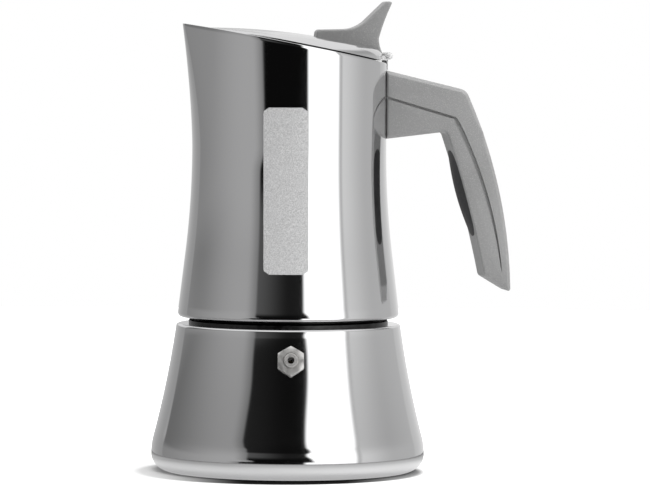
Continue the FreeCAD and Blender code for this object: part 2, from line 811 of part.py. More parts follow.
def make_collector_inside():
    """Floor with its spigot, the threaded ring below it, and the coffee column."""
    floor_top = f"({FLOOR_BOTTOM} + floor_wall)"
    cone_top = f"({FLOOR_BOTTOM} + floor_rise)"
    seat = f"({cone_top} + floor_wall)"
    flat = f"({RING_BORE} - floor_flat)"
    turned_piece("collector_floor", [
        (f"{cone_radius(floor_top)} - collector_wall - weld_gap", FLOOR_BOTTOM),
        (f"{cone_radius(floor_top)} - collector_wall - weld_gap", floor_top),
        (flat, floor_top),
        ("spigot_radius + column_gap + column_wall", seat),
        ("spigot_radius", seat),
        ("spigot_radius", f"{seat} + spigot_height"),
        ("spigot_radius - spigot_wall", f"{seat} + spigot_height"),
        ("spigot_radius - spigot_wall", cone_top),
        (f"{flat} - floor_wall", FLOOR_BOTTOM),
    ])
    turned_piece("thread_ring", [
        (RING_BORE, f"{SKIRT} + ring_inset"),
        (f"{RING_BORE} + ring_wall", f"{SKIRT} + ring_inset"),
        (f"{RING_BORE} + ring_wall", FLOOR_BOTTOM),
        (RING_BORE, FLOOR_BOTTOM),
    ])
    foot = "(spigot_radius + column_gap)"
    column_top = f"({seat} + column_height)"
    turned_piece("column", [
        (foot, seat),
        (f"{foot} + column_wall", seat),
        ("column_top_radius", column_top),
        ("column_top_radius - column_wall", column_top),
    ])
    bore = "(column_top_radius + cap_gap)"
    taper = f"({foot} + column_wall - column_top_radius) * cap_lap / column_height"
    lap = f"({bore} + {taper})"
    cap_top = f"({column_top} + cap_height)"
    cap = turned_piece("column_cap", [
        (lap, f"{column_top} - cap_lap"),
        (f"{lap} + cap_wall", f"{column_top} - cap_lap"),
        (f"{bore} + cap_wall", column_top),
        (f"{bore} + cap_wall", f"{cap_top} - cap_wall"),
        (bore, cap_top),
        ("0", cap_top),
        ("0", f"{cap_top} - cap_wall"),
        (bore, f"{cap_top} - cap_wall"),
        (bore, column_top),
    ])
    window = new_sketch(cap, "cap_window_outline", "YZ_Plane")
    sill = f"({column_top} + (cap_height - cap_wall - cap_window) / 2)"
    add_outline(window, [
        ("-cap_window_width / 2", sill),
        ("cap_window_width / 2", sill),
        ("cap_window_width / 2", f"{sill} + cap_window"),
        ("-cap_window_width / 2", f"{sill} + cap_window"),
    ])
    pocket(cap, window, "4 * column_top_radius", both_sides=True)


# ---- hinge --------------------------------------------------------------------------

def make_hinge_bracket():
    """Leaf welded to the outside of the wall, with a knuckle at each end of the pin."""
    body = new_body("hinge_bracket")
    leaf = new_sketch(body, "hinge_leaf", "XZ_Plane")
    inner = "(waist_radius + weld_gap)"
    add_outline(leaf, [
        (inner, f"{HINGE_Z} - leaf_drop"),
        (f"{inner} + leaf_wall", f"{HINGE_Z} - leaf_drop"),
        (f"{inner} + leaf_wall", HINGE_Z),
        (inner, HINGE_Z),
    ])
    revolve(body, leaf, f"2 * asin(({HINGE_WIDTH} / 2 - weld_gap) / ({inner} + leaf_wall))")
    knuckle = new_sketch(body, "hinge_knuckle", "XZ_Plane")
    add_circle(knuckle, HINGE_X, HINGE_Z, "hinge_radius")
    pad(body, knuckle, HINGE_WIDTH, both_sides=True)
    bore = new_sketch(body, "hinge_bore", "XZ_Plane")
    add_circle(bore, HINGE_X, HINGE_Z, "pin_radius + pin_gap")
    pocket(body, bore, f"2 * {HINGE_WIDTH}", both_sides=True)
    room = new_sketch(body, "hinge_room", "XZ_Plane")
    reach = "(hinge_radius + knuckle_gap)"
    add_outline(room, [
        (f"{HINGE_X} - 2 * {reach}", f"{HINGE_Z} - {reach}"),
        (f"{HINGE_X} + 2 * {reach}", f"{HINGE_Z} - {reach}"),
        (f"{HINGE_X} + 2 * {reach}", f"{HINGE_Z} + {reach}"),
        (f"{HINGE_X} - 2 * {reach}", f"{HINGE_Z} + {reach}"),
    ])
    pocket(body, room, "lid_knuckle + 2 * knuckle_gap", both_sides=True)


def make_hinge_pin():
    body = new_body("hinge_pin")
    shaft = new_sketch(body, "pin_shaft", "XZ_Plane")
    add_circle(shaft, HINGE_X, HINGE_Z, "pin_radius")
    pad(body, shaft, f"{HINGE_WIDTH} + 2 * pin_head", both_sides=True)
    for side, way in (("near", ""), ("far", "-")):
        offset = f"{way}({HINGE_WIDTH} + pin_head) / 2"
        head = new_sketch(body, f"pin_head_{side}", "XZ_Plane", offset)
        add_circle(head, HINGE_X, HINGE_Z, "pin_head_radius")
        pad(body, head, "pin_head", both_sides=True)


# ---- lid ----------------------------------------------------------------------------

def cut_screw_hole(body, name, depth):
    """Hole for the knob's screw, square to the dome."""
    sketch = new_sketch(body, name, "XY_Plane")
    add_circle(sketch, "0", "0", "knob_screw_radius + knob_screw_gap")
    tie(sketch, "AttachmentOffset", SCREW_ON_DOME)
    pocket(body, sketch, depth, both_sides=True)


def make_lid():
    inner = f"({LID_RADIUS} - lid_wall)"
    inner_edge = dome_height(inner, "lid_wall")
    body = turned_piece("lid", [
        ("0", f"{LID_RISE} - lid_wall"),
        (inner, inner_edge, "-(lid_curve - lid_wall)"),
        (inner, "-lid_flange"),
        (LID_RADIUS, "-lid_flange"),
        (LID_RADIUS, "lid_edge"),
        ("0", LID_RISE, "lid_curve"),
    ])
    cut_screw_hole(body, "lid_screw_hole", "4 * lid_wall")
    notch = new_sketch(body, "lid_notch", "YZ_Plane", inner)
    half = "(lid_knuckle / 2 + knuckle_gap)"
    add_outline(notch, [
        (f"-{half}", "-2 * lid_flange"),
        (half, "-2 * lid_flange"),
        (half, inner_edge),
        (f"-{half}", inner_edge),
    ])
    pocket(body, notch, "4 * lid_wall", both_sides=True)
    tie(body, "Placement", LID_PLACE)


def make_lid_hinge_leaf():
    """Strip welded under the lid that ends in the middle knuckle."""
    body = new_body("lid_hinge_leaf")
    inner = f"({LID_RADIUS} - lid_wall - weld_gap)"
    under = "(lid_wall + lid_leaf_gap)"
    strip = new_sketch(body, "lid_leaf_strip", "XZ_Plane")
    start = f"({inner} - lid_leaf_lap)"
    add_outline(strip, [
        (start, dome_height(start, under)),
        (start, f"{dome_height(start, under)} - leaf_wall"),
        (inner, f"{dome_height(inner, under)} - leaf_wall"),
        (HINGE_U, "-hinge_radius / 2"),
        (HINGE_U, "0"),
        (f"({LID_RADIUS} + weld_gap)", dome_height(inner, under)),
        (inner, dome_height(inner, under)),
    ])
    pad(body, strip, "lid_knuckle", both_sides=True)
    knuckle = new_sketch(body, "lid_knuckle_outline", "XZ_Plane")
    add_circle(knuckle, HINGE_U, "0", "hinge_radius")
    pad(body, knuckle, "lid_knuckle", both_sides=True)
    bore = new_sketch(body, "lid_knuckle_bore", "XZ_Plane")
    add_circle(bore, HINGE_U, "0", "pin_radius + pin_gap")
    pocket(body, bore, "2 * lid_knuckle", both_sides=True)
    tie(body, "Placement", LID_PLACE)


def make_lid_knob():
    """Lever moulded in one piece: a low tongue that sweeps up into a leaning thumb rest."""
    body = new_body("lid_knob")
    side = new_sketch(body, "knob_side", "XZ_Plane")
    back = f"({HINGE_U} - knob_back_gap)"
    tip = f"({HINGE_U} - knob_heel_gap)"
    waist = f"({HINGE_U} - knob_waist_gap)"
    crest = f"({tip} - knob_tip_length)"
    lean = f"({crest} - knob_lean_length)"
    lean_up = "(knob_tip_height - knob_lean_height)"
    sweep = f"({lean} - knob_sweep_length)"
    sweep_up = f"({lean_up} - knob_sweep_height)"
    nose = f"({sweep} - knob_tongue_length)"
    nose_up = f"({sweep_up} - knob_tongue_height)"
    add_outline(side, [
        (f"{nose} - knob_nose_length", "0"),
        (back, "0"),
        (waist, "knob_waist_height", "-knob_waist_round"),
        (tip, "knob_tip_height", "-knob_back_round"),
        (crest, "knob_tip_height", "knob_tip_round"),
        (lean, lean_up),
        (sweep, sweep_up, "-knob_sweep_round"),
        (nose, nose_up),
        (f"{nose} - knob_nose_length", f"{nose_up} - knob_nose_height", "knob_nose_round"),
    ])
    pad(body, side, "knob_width", both_sides=True)
    plan = new_sketch(body, "knob_plan", "XY_Plane")
    front = f"({nose} - knob_nose_length)"
    half, wide = "(knob_nose_width / 2)", "(knob_width / 2)"
    for way in ("", "-"):
        add_outline(plan, [
            (front, f"{way}{half}"),
            (HINGE_U, f"{way}{wide}"),
            (f"{front} - knob_width", f"{way}{wide}"),
            (f"{front} - knob_width", f"{way}{half}"),
        ])
    pocket(body, plan, "4 * knob_tip_height", both_sides=True)
    low, high = value(f"{front} + 0.5"), value("knob_nose_width / 2 - 0.01")
    base = value("knob_waist_height / 2")

    def on_rim(edge):
        box = edge.BoundBox
        beside = min(abs(box.YMin), abs(box.YMax)) > high
        return beside and box.ZMax > base and box.XMax > low

    bevel(body, "knob_rim", "knob_bevel", on_rim)
    seat = new_sketch(body, "knob_seat", "XZ_Plane")
    over = "(-knob_seat_gap)"
    add_outline(seat, [
        ("0", "-lid_curve / 4"),
        (LID_RADIUS, "-lid_curve / 4"),
        (LID_RADIUS, dome_height(LID_RADIUS, over)),
        ("0", dome_height("0", over), "(lid_curve + knob_seat_gap)"),
    ])
    groove(body, seat)
    cut_screw_hole(body, "knob_screw_hole", "2 * (knob_screw_bite + knob_screw_gap)")
    tie(body, "Placement", LID_PLACE)


def make_knob_screw():
    hollow = "knob_washer_radius^2 / (2 * (lid_curve - lid_wall))"
    washer_top = f"(-lid_wall - weld_gap - {hollow})"
    seat = f"({washer_top} - knob_washer_wall)"
    turned_piece("knob_washer", [
        ("knob_screw_radius + knob_screw_gap", seat),
        ("knob_washer_radius", seat),
        ("knob_washer_radius", washer_top),
        ("knob_screw_radius + knob_screw_gap", washer_top),
    ])
    turned_piece("knob_screw", [
        ("0", f"{seat} - knob_screw_head"),
        ("knob_screw_head_radius", f"{seat} - knob_screw_head"),
        ("knob_screw_head_radius", seat),
        ("knob_screw_radius", seat),
        ("knob_screw_radius", "knob_screw_bite"),
        ("0", "knob_screw_bite"),
    ])
    for name in ("knob_washer", "knob_screw"):
        tie(doc.getObject(name), "Placement", f"{LID_PLACE} * {SCREW_ON_DOME}")


# ---- handle -------------------------------------------------------------------------

def out(name):
    """Expression of a place across the handle, from the wall at the waist."""
    return f"(waist_radius + {name})"


def up(name):
    return f"({WAIST} + {name})"


def down(name):
    return f"({WAIST} - {name})"


def along_grip(distance, aside):
    """A point beside the grip's inner edge: down it from the arm, and out from the pot."""
    across = f"(crotch_out + ({distance}) * {GRIP_RUN} + ({aside}) * {GRIP_FALL})"
    height = f"(crotch_up - ({distance}) * {GRIP_FALL} + ({aside}) * {GRIP_RUN})"
    return out(across), up(height)


def arc_through(length, rise):
    """Expression of the radius of an arc from its chord and its rise over the chord."""
    return f"(({length})^2 / (8 * {rise}) + {rise} / 2)"


def at_corner(edge, across, height):
    """Whether an edge crosses the handle at this corner of its side outline."""
    middle = edge.BoundBox.Center
    crosses = edge.BoundBox.YLength > value("handle_width") / 2
    return crosses and math.hypot(middle.x - value(across), middle.z - value(height)) < 0.01


def cut_slot(body, name, reach, width, low, high):
    """Cut a box from the pot's side into the handle's end, as far as reach."""
    sketch = new_sketch(body, name, "YZ_Plane", reach)
    half = f"({width} / 2 + socket_gap)"
    add_outline(sketch, [(f"-{half}", low), (half, low), (half, high), (f"-{half}", high)])
    pocket(body, sketch, reach)


def make_handle():
    body = new_body("handle")
    side = new_sketch(body, "handle_side", "XZ_Plane")
    root = out("(-handle_root)")
    slope = "(handle_top - elbow_up) / elbow_out"
    elbow = (out("elbow_out"), up("elbow_up"))
    toe = (out("toe_out"), down("toe_down"))
    add_outline(side, [
        (root, up("handle_under")),
        (out("crotch_out"), up("crotch_up")),
        (out("heel_out"), down("heel_down"), "-grip_inner_curve"),
        toe,
        (*elbow, "grip_curve"),
        (root, up(f"(handle_top + handle_root * {slope})")),
    ])
    pad(body, side, "handle_width", both_sides=True)
    crotch = (out("crotch_out"), up("crotch_up"))
    soften(body, "elbow", "elbow_round", lambda edge: at_corner(edge, *elbow))
    soften(body, "toe", "toe_round", lambda edge: at_corner(edge, *toe))
    soften(body, "crotch", "crotch_round", lambda edge: at_corner(edge, *crotch))
    half = value("handle_width / 2")
    heel_x, crotch_z = value(out("heel_out")), value(up("crotch_up"))

    def on_side(edge):
        return abs(abs(edge.CenterOfMass.y) - half) < 0.01 and edge.BoundBox.YLength < 0.01

    def is_outside(edge):
        return edge.CenterOfMass.x > heel_x or edge.CenterOfMass.z > crotch_z

    def on_back(edge):
        return on_side(edge) and is_outside(edge) and edge.BoundBox.XLength > 0.01

    def on_front(edge):
        return on_side(edge) and not is_outside(edge) and edge.BoundBox.XLength > 0.01

    bevel(body, "front_edges", "inner_bevel", on_front)
    bevel(body, "back_edges", "edge_bevel", on_back)
    saddle = new_sketch(body, "handle_saddle", "XY_Plane", WAIST)
    add_circle(saddle, "0", "0", "waist_radius + handle_gap")
    pocket(body, saddle, "4 * handle_top", both_sides=True)

    def on_end(edge):
        return on_side(edge) and edge.BoundBox.XLength < 0.01

    bevel(body, "end_edges", "end_bevel", on_end)
    cut_grooves(body, root)
    bite = new_sketch(body, "insert_bite", "XZ_Plane")
    low_end = "(insert_start + insert_length)"
    add_outline(bite, [
        along_grip("insert_start", "insert_shift"),
        (*along_grip(low_end, "insert_shift"), f"-{arc_through('insert_length', 'insert_depth')}"),
        along_grip(low_end, "-2 * insert_swell"),
        along_grip("insert_start", "-2 * insert_swell"),
    ])
    pocket(body, bite, "handle_width - 2 * insert_lip", both_sides=True)
    cut_slot(body, "bracket_recess", out("(weld_gap + bracket_wall + socket_gap)"),
             "bracket_width",
             up("(tongue_up - bracket_height / 2 - socket_gap)"),
             up("(tongue_up + bracket_height / 2 + socket_gap)"))
    cut_slot(body, "tongue_socket", out("(tongue_length + socket_gap)"), "tongue_width",
             TONGUE_Z, f"({TONGUE_Z} + tongue_wall + socket_gap)")
    shank = new_sketch(body, "screw_clearance", "XY_Plane", f"({TONGUE_Z} + tongue_wall / 2)")
    add_circle(shank, out("screw_out"), "0", "screw_radius + screw_gap")
    pocket(body, shank, "4 * screw_floor")
    recess = new_sketch(body, "screw_counterbore", "XY_Plane", SCREW_SEAT)
    add_circle(recess, out("screw_out"), "0", "screw_head_radius + screw_gap")
    pocket(body, recess, "4 * screw_floor")


def cut_grooves(body, root):
    """The line of shadow that follows the arm and the grip on both sides."""
    for side, offset in (("near", "(handle_width / 2 + groove_depth)"),
                         ("far", "(groove_depth - handle_width / 2)")):
        sketch = new_sketch(body, f"groove_{side}", "XZ_Plane", offset)
        tail = (out("groove_end_out"), down("groove_end_down"))
        add_outline(sketch, [
            (root, up("(groove_start_up - groove_width)")),
            (out("(groove_bend_out - groove_width)"), up("(groove_bend_up - groove_width)")),
            (*tail, "-groove_curve"),
            (out("groove_bend_out"), up("groove_bend_up"), "groove_curve"),
            (root, up("groove_start_up")),
        ])
        pocket(body, sketch, "2 * groove_depth")


def make_grip_insert():
    """Soft pad let into the grip's inner face and crowned across its width."""
    body = new_body("grip_insert")
    lens = new_sketch(body, "insert_lens", "XZ_Plane")
    low_end = "(insert_start + insert_length)"
    depth = "(insert_depth - weld_gap)"
    add_outline(lens, [
        (*along_grip("insert_start", "insert_shift"),
         f"-{arc_through('insert_length', 'insert_swell')}"),
        (*along_grip(low_end, "insert_shift"), f"-{arc_through('insert_length', depth)}"),
    ])
    half = "(handle_width / 2 - insert_lip - insert_gap)"
    pad(body, lens, f"2 * {half}", both_sides=True)
    crown = new_sketch(body, "insert_crown", "XY_Plane")
    across, height = along_grip("0", "0")
    tie(crown, "AttachmentOffset",
        f"placement(vector({across}; 0; {height}); rotation(vector(0; 1; 0); -asin({GRIP_RUN})))")
    front, apex = "(-2 * insert_swell)", "(insert_shift - insert_swell)"
    radius = arc_through(f"2 * {half}", "insert_swell")
    for way in ("", "-"):
        add_outline(crown, [
            (front, "0"),
            (front, f"{way}{half}"),
            ("insert_shift", f"{way}{half}"),
            (apex, "0", f"{way}{radius}"),
        ])
    pocket(body, crown, "2 * insert_length")


def make_handle_fixing():
    """Bracket welded to the wall, its tongue inside the handle, and the screw from below."""
    body = new_body("handle_bracket")
    saddle = new_sketch(body, "bracket_saddle", "XZ_Plane")
    inner = "(waist_radius + weld_gap)"
    low, high = up("(tongue_up - bracket_height / 2)"), up("(tongue_up + bracket_height / 2)")
    add_outline(saddle, [
        (inner, low),
        (f"{inner} + bracket_wall", low),
        (f"{inner} + bracket_wall", high),
        (inner, high),
    ])
    revolve(body, saddle, "2 * asin(bracket_width / 2 / (waist_radius + bracket_wall))")
    tongue = new_sketch(body, "bracket_tongue", "XY_Plane", TONGUE_Z)
    half = "(tongue_width / 2)"
    add_outline(tongue, [
        (f"{inner} + bracket_wall / 2", f"-{half}"),
        (out("tongue_length"), f"-{half}"),
        (out("tongue_length"), half),
        (f"{inner} + bracket_wall / 2", half),
    ])
    pad(body, tongue, "tongue_wall")
    hole = new_sketch(body, "bracket_hole", "XY_Plane", TONGUE_Z)
    add_circle(hole, out("screw_out"), "0", "screw_radius + screw_gap")
    pocket(body, hole, "4 * tongue_wall", both_sides=True)
    screw = turned_piece("handle_screw", [
        ("0", "-screw_head"),
        ("screw_head_radius", "-screw_head"),
        ("screw_head_radius", "0"),
        ("screw_radius", "0"),
        ("screw_radius", "screw_floor + screw_bite"),
        ("0", "screw_floor + screw_bite"),
    ])
    tie(screw, "Placement",
        f"placement(vector({out('screw_out')}; 0; {SCREW_SEAT}); rotation(vector(0; 0; 1); 0))")


# ---- build and export ---------------------------------------------------------------

make_boiler_shell()
make_valve()
make_funnel()
make_filter_set()
make_collector_body()
make_collector_inside()
make_hinge_bracket()
make_hinge_pin()
make_lid()
make_lid_hinge_leaf()
make_lid_knob()
make_knob_screw()
make_handle()
make_grip_insert()
make_handle_fixing()
doc.recompute()

for item in doc.Objects:
    if "Invalid" in item.State or "Error" in item.State:
        raise RuntimeError(f"{item.Name} failed: {item.State}")
for piece in pieces:
    if piece.Shape.isNull() or not piece.Shape.isValid():
        raise RuntimeError(f"{piece.Label} has no valid shape")

os.makedirs("parts", exist_ok=True)
for piece in pieces:
    piece.Shape.exportStep(os.path.join("parts", f"{piece.Label}.step"))
print(len(pieces), "pieces written")
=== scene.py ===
"""Stovetop moka pot: fine surfaces, materials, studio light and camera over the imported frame.

Lengths are written in millimetres and scaled to metres when a mesh is made. The pot stands
on the XY plane with its axis on Z, its spout towards -X, its handle towards +X and its
safety valve towards -Y.
"""
from math import (asin, atan, atan2, ceil, copysign, cos, degrees, dist, hypot, pi, radians,
                  remainder, sin, sqrt, tan)

import bmesh
import bpy
from mathutils import Matrix, Vector


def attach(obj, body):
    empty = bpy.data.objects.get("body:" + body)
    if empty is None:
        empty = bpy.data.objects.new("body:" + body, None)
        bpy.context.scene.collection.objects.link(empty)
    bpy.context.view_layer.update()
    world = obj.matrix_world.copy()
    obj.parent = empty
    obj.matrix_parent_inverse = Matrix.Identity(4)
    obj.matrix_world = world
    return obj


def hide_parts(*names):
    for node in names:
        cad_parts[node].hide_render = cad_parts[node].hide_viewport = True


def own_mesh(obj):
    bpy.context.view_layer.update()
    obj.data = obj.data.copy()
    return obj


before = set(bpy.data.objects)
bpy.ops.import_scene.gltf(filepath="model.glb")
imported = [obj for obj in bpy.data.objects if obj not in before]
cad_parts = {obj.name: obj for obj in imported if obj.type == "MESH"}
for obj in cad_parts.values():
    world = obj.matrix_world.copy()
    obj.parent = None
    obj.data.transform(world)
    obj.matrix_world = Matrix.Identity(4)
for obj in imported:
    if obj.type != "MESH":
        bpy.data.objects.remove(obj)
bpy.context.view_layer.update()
MM = 0.001

# ---- sizes of the pot, in millimetres and radians ----

BOILER_CURVE = 380.0
BOILER_CURVE_HEIGHT = 109.0
BOILER_CURVE_RADIUS = 39.24
BOILER_WALL = 1.0
BULGE_START = 12.7
BULGE_HEIGHT = 6.6
BULGE = 0.73
BULGE_ROUND = 24.6
FOOT_ROUND = 6.8
FOOT_INSET = 5.2
SHOULDER = 55.5
SHOULDER_CREST = SHOULDER + 0.8
SHOULDER_ROUND = 1.1
THREAD_RADIUS = 34.7
THREAD_ROOT = 33.4
COLLAR_RADIUS = 38.2
NECK_TOP = SHOULDER + 11.7
MOUTH = THREAD_RADIUS - 2.4

SKIRT = SHOULDER + 3.3
SKIRT_ROUND = 1.7
HEM = 3.0
WALL = 0.8
BEND = SKIRT + 24.9
WAIST_RISE = 39.8
WAIST = BEND + WAIST_RISE
WAIST_RADIUS = 37.17
WAIST_CURVE = 330.0
BEND_RADIUS = WAIST_RADIUS + WAIST_CURVE - sqrt(WAIST_CURVE**2 - WAIST_RISE**2)
CONE_SLOPE = tan(asin(WAIST_RISE / WAIST_CURVE))
SPOUT_PULL = 4.43
SPOUT_ROUND = 4.5
SPOUT_SPLIT = radians(32.0)
SPOUT_GROWTH = 1.6
BLANK_RISE = 50.0
RIM = WAIST + 40.16
RIM_SLOPE = tan(radians(10.75))
RIM_DROP = 0.55

LID_RADIUS = WAIST_RADIUS - WALL - 0.37
LID_EDGE = 1.1
LID_CURVE = 260.0
LID_WEDGE = 0.015
LID_WALL = 0.7
LID_FLANGE = 2.0
LID_LOWEST = -LID_FLANGE - 0.6
LID_BORDER = 3.0
LID_BORDER_ROUND = 4.2
LID_RISE = LID_EDGE + LID_CURVE - sqrt(LID_CURVE**2 - LID_RADIUS**2)
LID_LEAN = radians(7.7)
LID_SLIT = 0.5
LID_SHIFT = 0.33
LID_LIFT = 0.34
LID_FRAME = (Matrix.Translation((LID_SHIFT, 0, RIM + LID_LIFT))
             @ Matrix.Rotation(LID_LEAN, 4, "Y"))
HINGE_U = LID_RADIUS + 1.45
HINGE_RADIUS = 1.4
LID_KNUCKLE = 7.0
BRACKET_KNUCKLE = 3.2
KNUCKLE_GAP = 0.3
HINGE_ROOM = LID_KNUCKLE / 2 + KNUCKLE_GAP
HINGE_HALF = HINGE_ROOM + BRACKET_KNUCKLE
HINGE_FRAME = LID_FRAME @ Matrix.Translation((HINGE_U, 0, 0)) @ Matrix.Rotation(
    radians(90), 4, "X")

KNOB_BACK = HINGE_U - 0.55
KNOB_HEIGHT = 20.68
KNOB_TIP = (KNOB_BACK - 0.8, KNOB_HEIGHT)
KNOB_CREST = (KNOB_TIP[0] - 2.3, KNOB_HEIGHT)
KNOB_LEAN = (KNOB_CREST[0] - 6.0, 13.1)
KNOB_SWEEP = (KNOB_LEAN[0] - 8.1, KNOB_LEAN[1] - 5.2)
KNOB_NOSE = (KNOB_SWEEP[0] - 9.4, KNOB_SWEEP[1] - 1.5)
KNOB_HALF = 6.3
KNOB_NOSE_HALF = 4.5
KNOB_BEVEL = 0.9

HANDLE_HALF = 9.0
HANDLE_OUT = WAIST_RADIUS
HANDLE_ROOT = HANDLE_OUT - 5.0
ARM_BOTTOM = WAIST + 3.1
ARM_TOP = WAIST + 29.8
ELBOW_OUT = 30.1
ELBOW = (HANDLE_OUT + ELBOW_OUT, WAIST + 22.6)
ARM_SLOPE = (ARM_TOP - ELBOW[1]) / ELBOW_OUT
CROTCH_OUT = 22.5
CROTCH = (HANDLE_OUT + CROTCH_OUT, WAIST + 6.6)
UNDER_SLOPE = (CROTCH[1] - ARM_BOTTOM) / CROTCH_OUT
HEEL = (HANDLE_OUT + 37.6, WAIST - 49.0)
TOE = (HANDLE_OUT + 47.9, WAIST - 55.2)
BACK_CURVE = 191.0
GRIP_LENGTH = dist(CROTCH, HEEL)
GRIP_RUN = (HEEL[0] - CROTCH[0]) / GRIP_LENGTH
GRIP_FALL = (CROTCH[1] - HEEL[1]) / GRIP_LENGTH
GRIP_CURVE = 450.0
EDGE_BEVEL = 1.4
UNDER_BEVEL = 1.3
INNER_BEVEL = 0.6
END_BEVEL = 0.9
GROOVE_BEND = (HANDLE_OUT + 25.65, WAIST + 11.85)
GROOVE_START = (HANDLE_ROOT, WAIST + 20.85)
GROOVE_TAIL = (HANDLE_OUT + 44.2, WAIST - 47.4)
GROOVE_CURVE = 165.0
GROOVE_WIDTH = 1.0
GROOVE_SWELL = 1.7
GROOVE_DEPTH = 1.2
INSERT_START = 7.7
INSERT_LENGTH = 34.2
INSERT_SWELL = 1.6
INSERT_HALF = HANDLE_HALF - 0.9
SCREW_OUT = HANDLE_OUT + 9.8
SCREW_RECESS = 3.7
SCREW_SEAT = WAIST + 7.9

VALVE_HEIGHT = SHOULDER - 11.0
VALVE_TURN = radians(-5.8)
VALVE_BORE = 2.25
SPRING_LOW = -4.0
SPRING_HIGH = 3.0
SPRING_WIRE = 0.2
SPRING_COIL = 1.65
SPRING_TURNS = 4.0

# ---- camera, in metres and radians ----

CAMERA_TURN = radians(-7.5)
CAMERA_PLACE = (0.0139, -1.80, 0.1641)
CAMERA_PITCH = radians(90 - 2.46)
CAMERA_ROLL = radians(0.35)
CAMERA_LENS = 260.2


# ---- outlines ----

def polar(radius, angle, height=0.0):
    """A point at an angle round Z, measured from +X."""
    return Vector((radius * cos(angle), radius * sin(angle), height))


def arc(start, stop, radius, count=0):
    """Points after start on the short arc to stop; a negative radius turns right."""
    turn = 1 if radius > 0 else -1
    radius = abs(radius)
    chord = Vector(stop) - Vector(start)
    left = Vector((-chord.y, chord.x)).normalized() * turn
    middle = (Vector(start) + Vector(stop)) / 2
    centre = middle + left * sqrt(max(radius**2 - chord.length_squared / 4, 0))
    sweep = 2 * asin(min(chord.length / 2 / radius, 1)) * turn
    if not count:
        count = max(2, ceil(max(abs(degrees(sweep)) / 4, chord.length / 2.5)))
    spoke = Vector(start) - centre
    return [centre + Matrix.Rotation(sweep * index / count, 2) @ spoke
            for index in range(1, count + 1)]


def outline(corners):
    """Points round a closed outline.

    A corner is (across, up) or (across, up, radius). A radius makes the edge that
    arrives there an arc; it turns left, or right when the radius is negative.
    """
    points = []
    for index, corner in enumerate(corners):
        start = corners[index - 1][:2]
        if len(corner) == 3:
            points += arc(start, corner[:2], corner[2])
        else:
            points.append(Vector(corner))
    return points


def rounding(first, corner, last, steps):
    """Points on the parabola that rounds a corner, from first to last."""
    points = []
    for step in range(steps + 1):
        share = step / steps
        points.append(first.lerp(corner, share).lerp(corner.lerp(last, share), share))
    return points


def soften(points, size, least=28.0):
    """The outline with each corner sharper than least degrees rounded."""
    rounded = []
    for index, point in enumerate(points):
        arriving = point - points[index - 1]
        leaving = points[(index + 1) % len(points)] - point
        shorter = min(arriving.length, leaving.length)
        turn = degrees(arriving.angle(leaving)) if shorter > 1e-6 else 0.0
        on_axis = abs(point.x) < 1e-6
        if turn < least or on_axis:
            rounded.append(point)
            continue
        cut = min(size * tan(radians(turn) / 2), 0.45 * shorter)
        first = point - arriving.normalized() * cut
        last = point + leaving.normalized() * cut
        rounded += rounding(first, point, last, 3)
    return rounded


# ---- meshes ----

def smooth_round(mesh, sharp):
    """Smooth shading, except on large flat faces and across sharp edges."""
    mesh.polygons.foreach_set("use_smooth", [len(polygon.vertices) <= 24
                                             for polygon in mesh.polygons])
    mesh.set_sharp_from_angle(angle=radians(sharp))


def closed_mesh(name, data):
    """A mesh in metres from a closed bmesh in millimetres, which is used up."""
    bmesh.ops.recalc_face_normals(data, faces=data.faces)
    data.transform(Matrix.Scale(MM, 4))
    mesh = bpy.data.meshes.new(name)
    data.to_mesh(mesh)
    data.free()
    return mesh


def linked(name, content):
    """An object that shows a mesh, a lamp or a camera in the scene."""
    made = bpy.data.objects.new(name, content)
    bpy.context.collection.objects.link(made)
    return made


def make_object(name, data, body, material, replaced=(), place=None, sharp=32.0):
    """An object from a bmesh in millimetres that rides on a body."""
    if place is not None:
        data.transform(place)
    mesh = closed_mesh(name, data)
    smooth_round(mesh, sharp)
    mesh.materials.append(material)
    piece = linked(name, mesh)
    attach(piece, body)
    if replaced:
        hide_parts(*replaced)
    return piece


def tube(rows, ring=False):
    """A bmesh along closed rows of points, capped at its ends or joined into a ring.

    Rows that meet on the Z axis share their vertices there.
    """
    data = bmesh.new()
    poles = {}

    def vertex(point):
        if point.xy.length > 1e-5:
            return data.verts.new(point)
        height = round(point.z, 5)
        if height not in poles:
            poles[height] = data.verts.new(point)
        return poles[height]

    sections = [[vertex(point) for point in row] for row in rows]
    for index in range(len(sections) if ring else len(sections) - 1):
        here, there = sections[index], sections[(index + 1) % len(sections)]
        for column in range(len(here)):
            following = (column + 1) % len(here)
            corners = list(dict.fromkeys((here[column], here[following], there[following],
                                          there[column])))
            if len(corners) > 2 and data.faces.get(corners) is None:
                data.faces.new(corners)
    if not ring:
        data.faces.new(list(dict.fromkeys(sections[0])))
        data.faces.new(list(dict.fromkeys(sections[-1])))
    return data


def lathe(points, turns=160, start=0.0, stop=360.0):
    """A closed outline of (radius, height) turned about Z, capped if it isn't a full turn."""
    full = stop - start >= 360.0
    steps = turns if full else max(4, round(turns * (stop - start) / 360.0))
    angles = [radians(start + (stop - start) * index / steps)
              for index in range(steps if full else steps + 1)]
    return tube([[polar(point.x, angle, point.y) for point in points] for angle in angles],
                full)


def inward(before, point, after, first_inset, second_inset):
    """The point moved inside a left-turning outline by the insets of its two edges."""
    arriving, leaving = (point - before).normalized(), (after - point).normalized()
    one, two = Vector((-arriving.y, arriving.x)), Vector((-leaving.y, leaving.x))
    cross = one.x * two.y - one.y * two.x
    if abs(cross) < 0.1:
        return point + (one + two).normalized() * (first_inset + second_inset) / 2
    return point + Vector((first_inset * two.y - second_inset * one.y,
                           one.x * second_inset - two.x * first_inset)) / cross


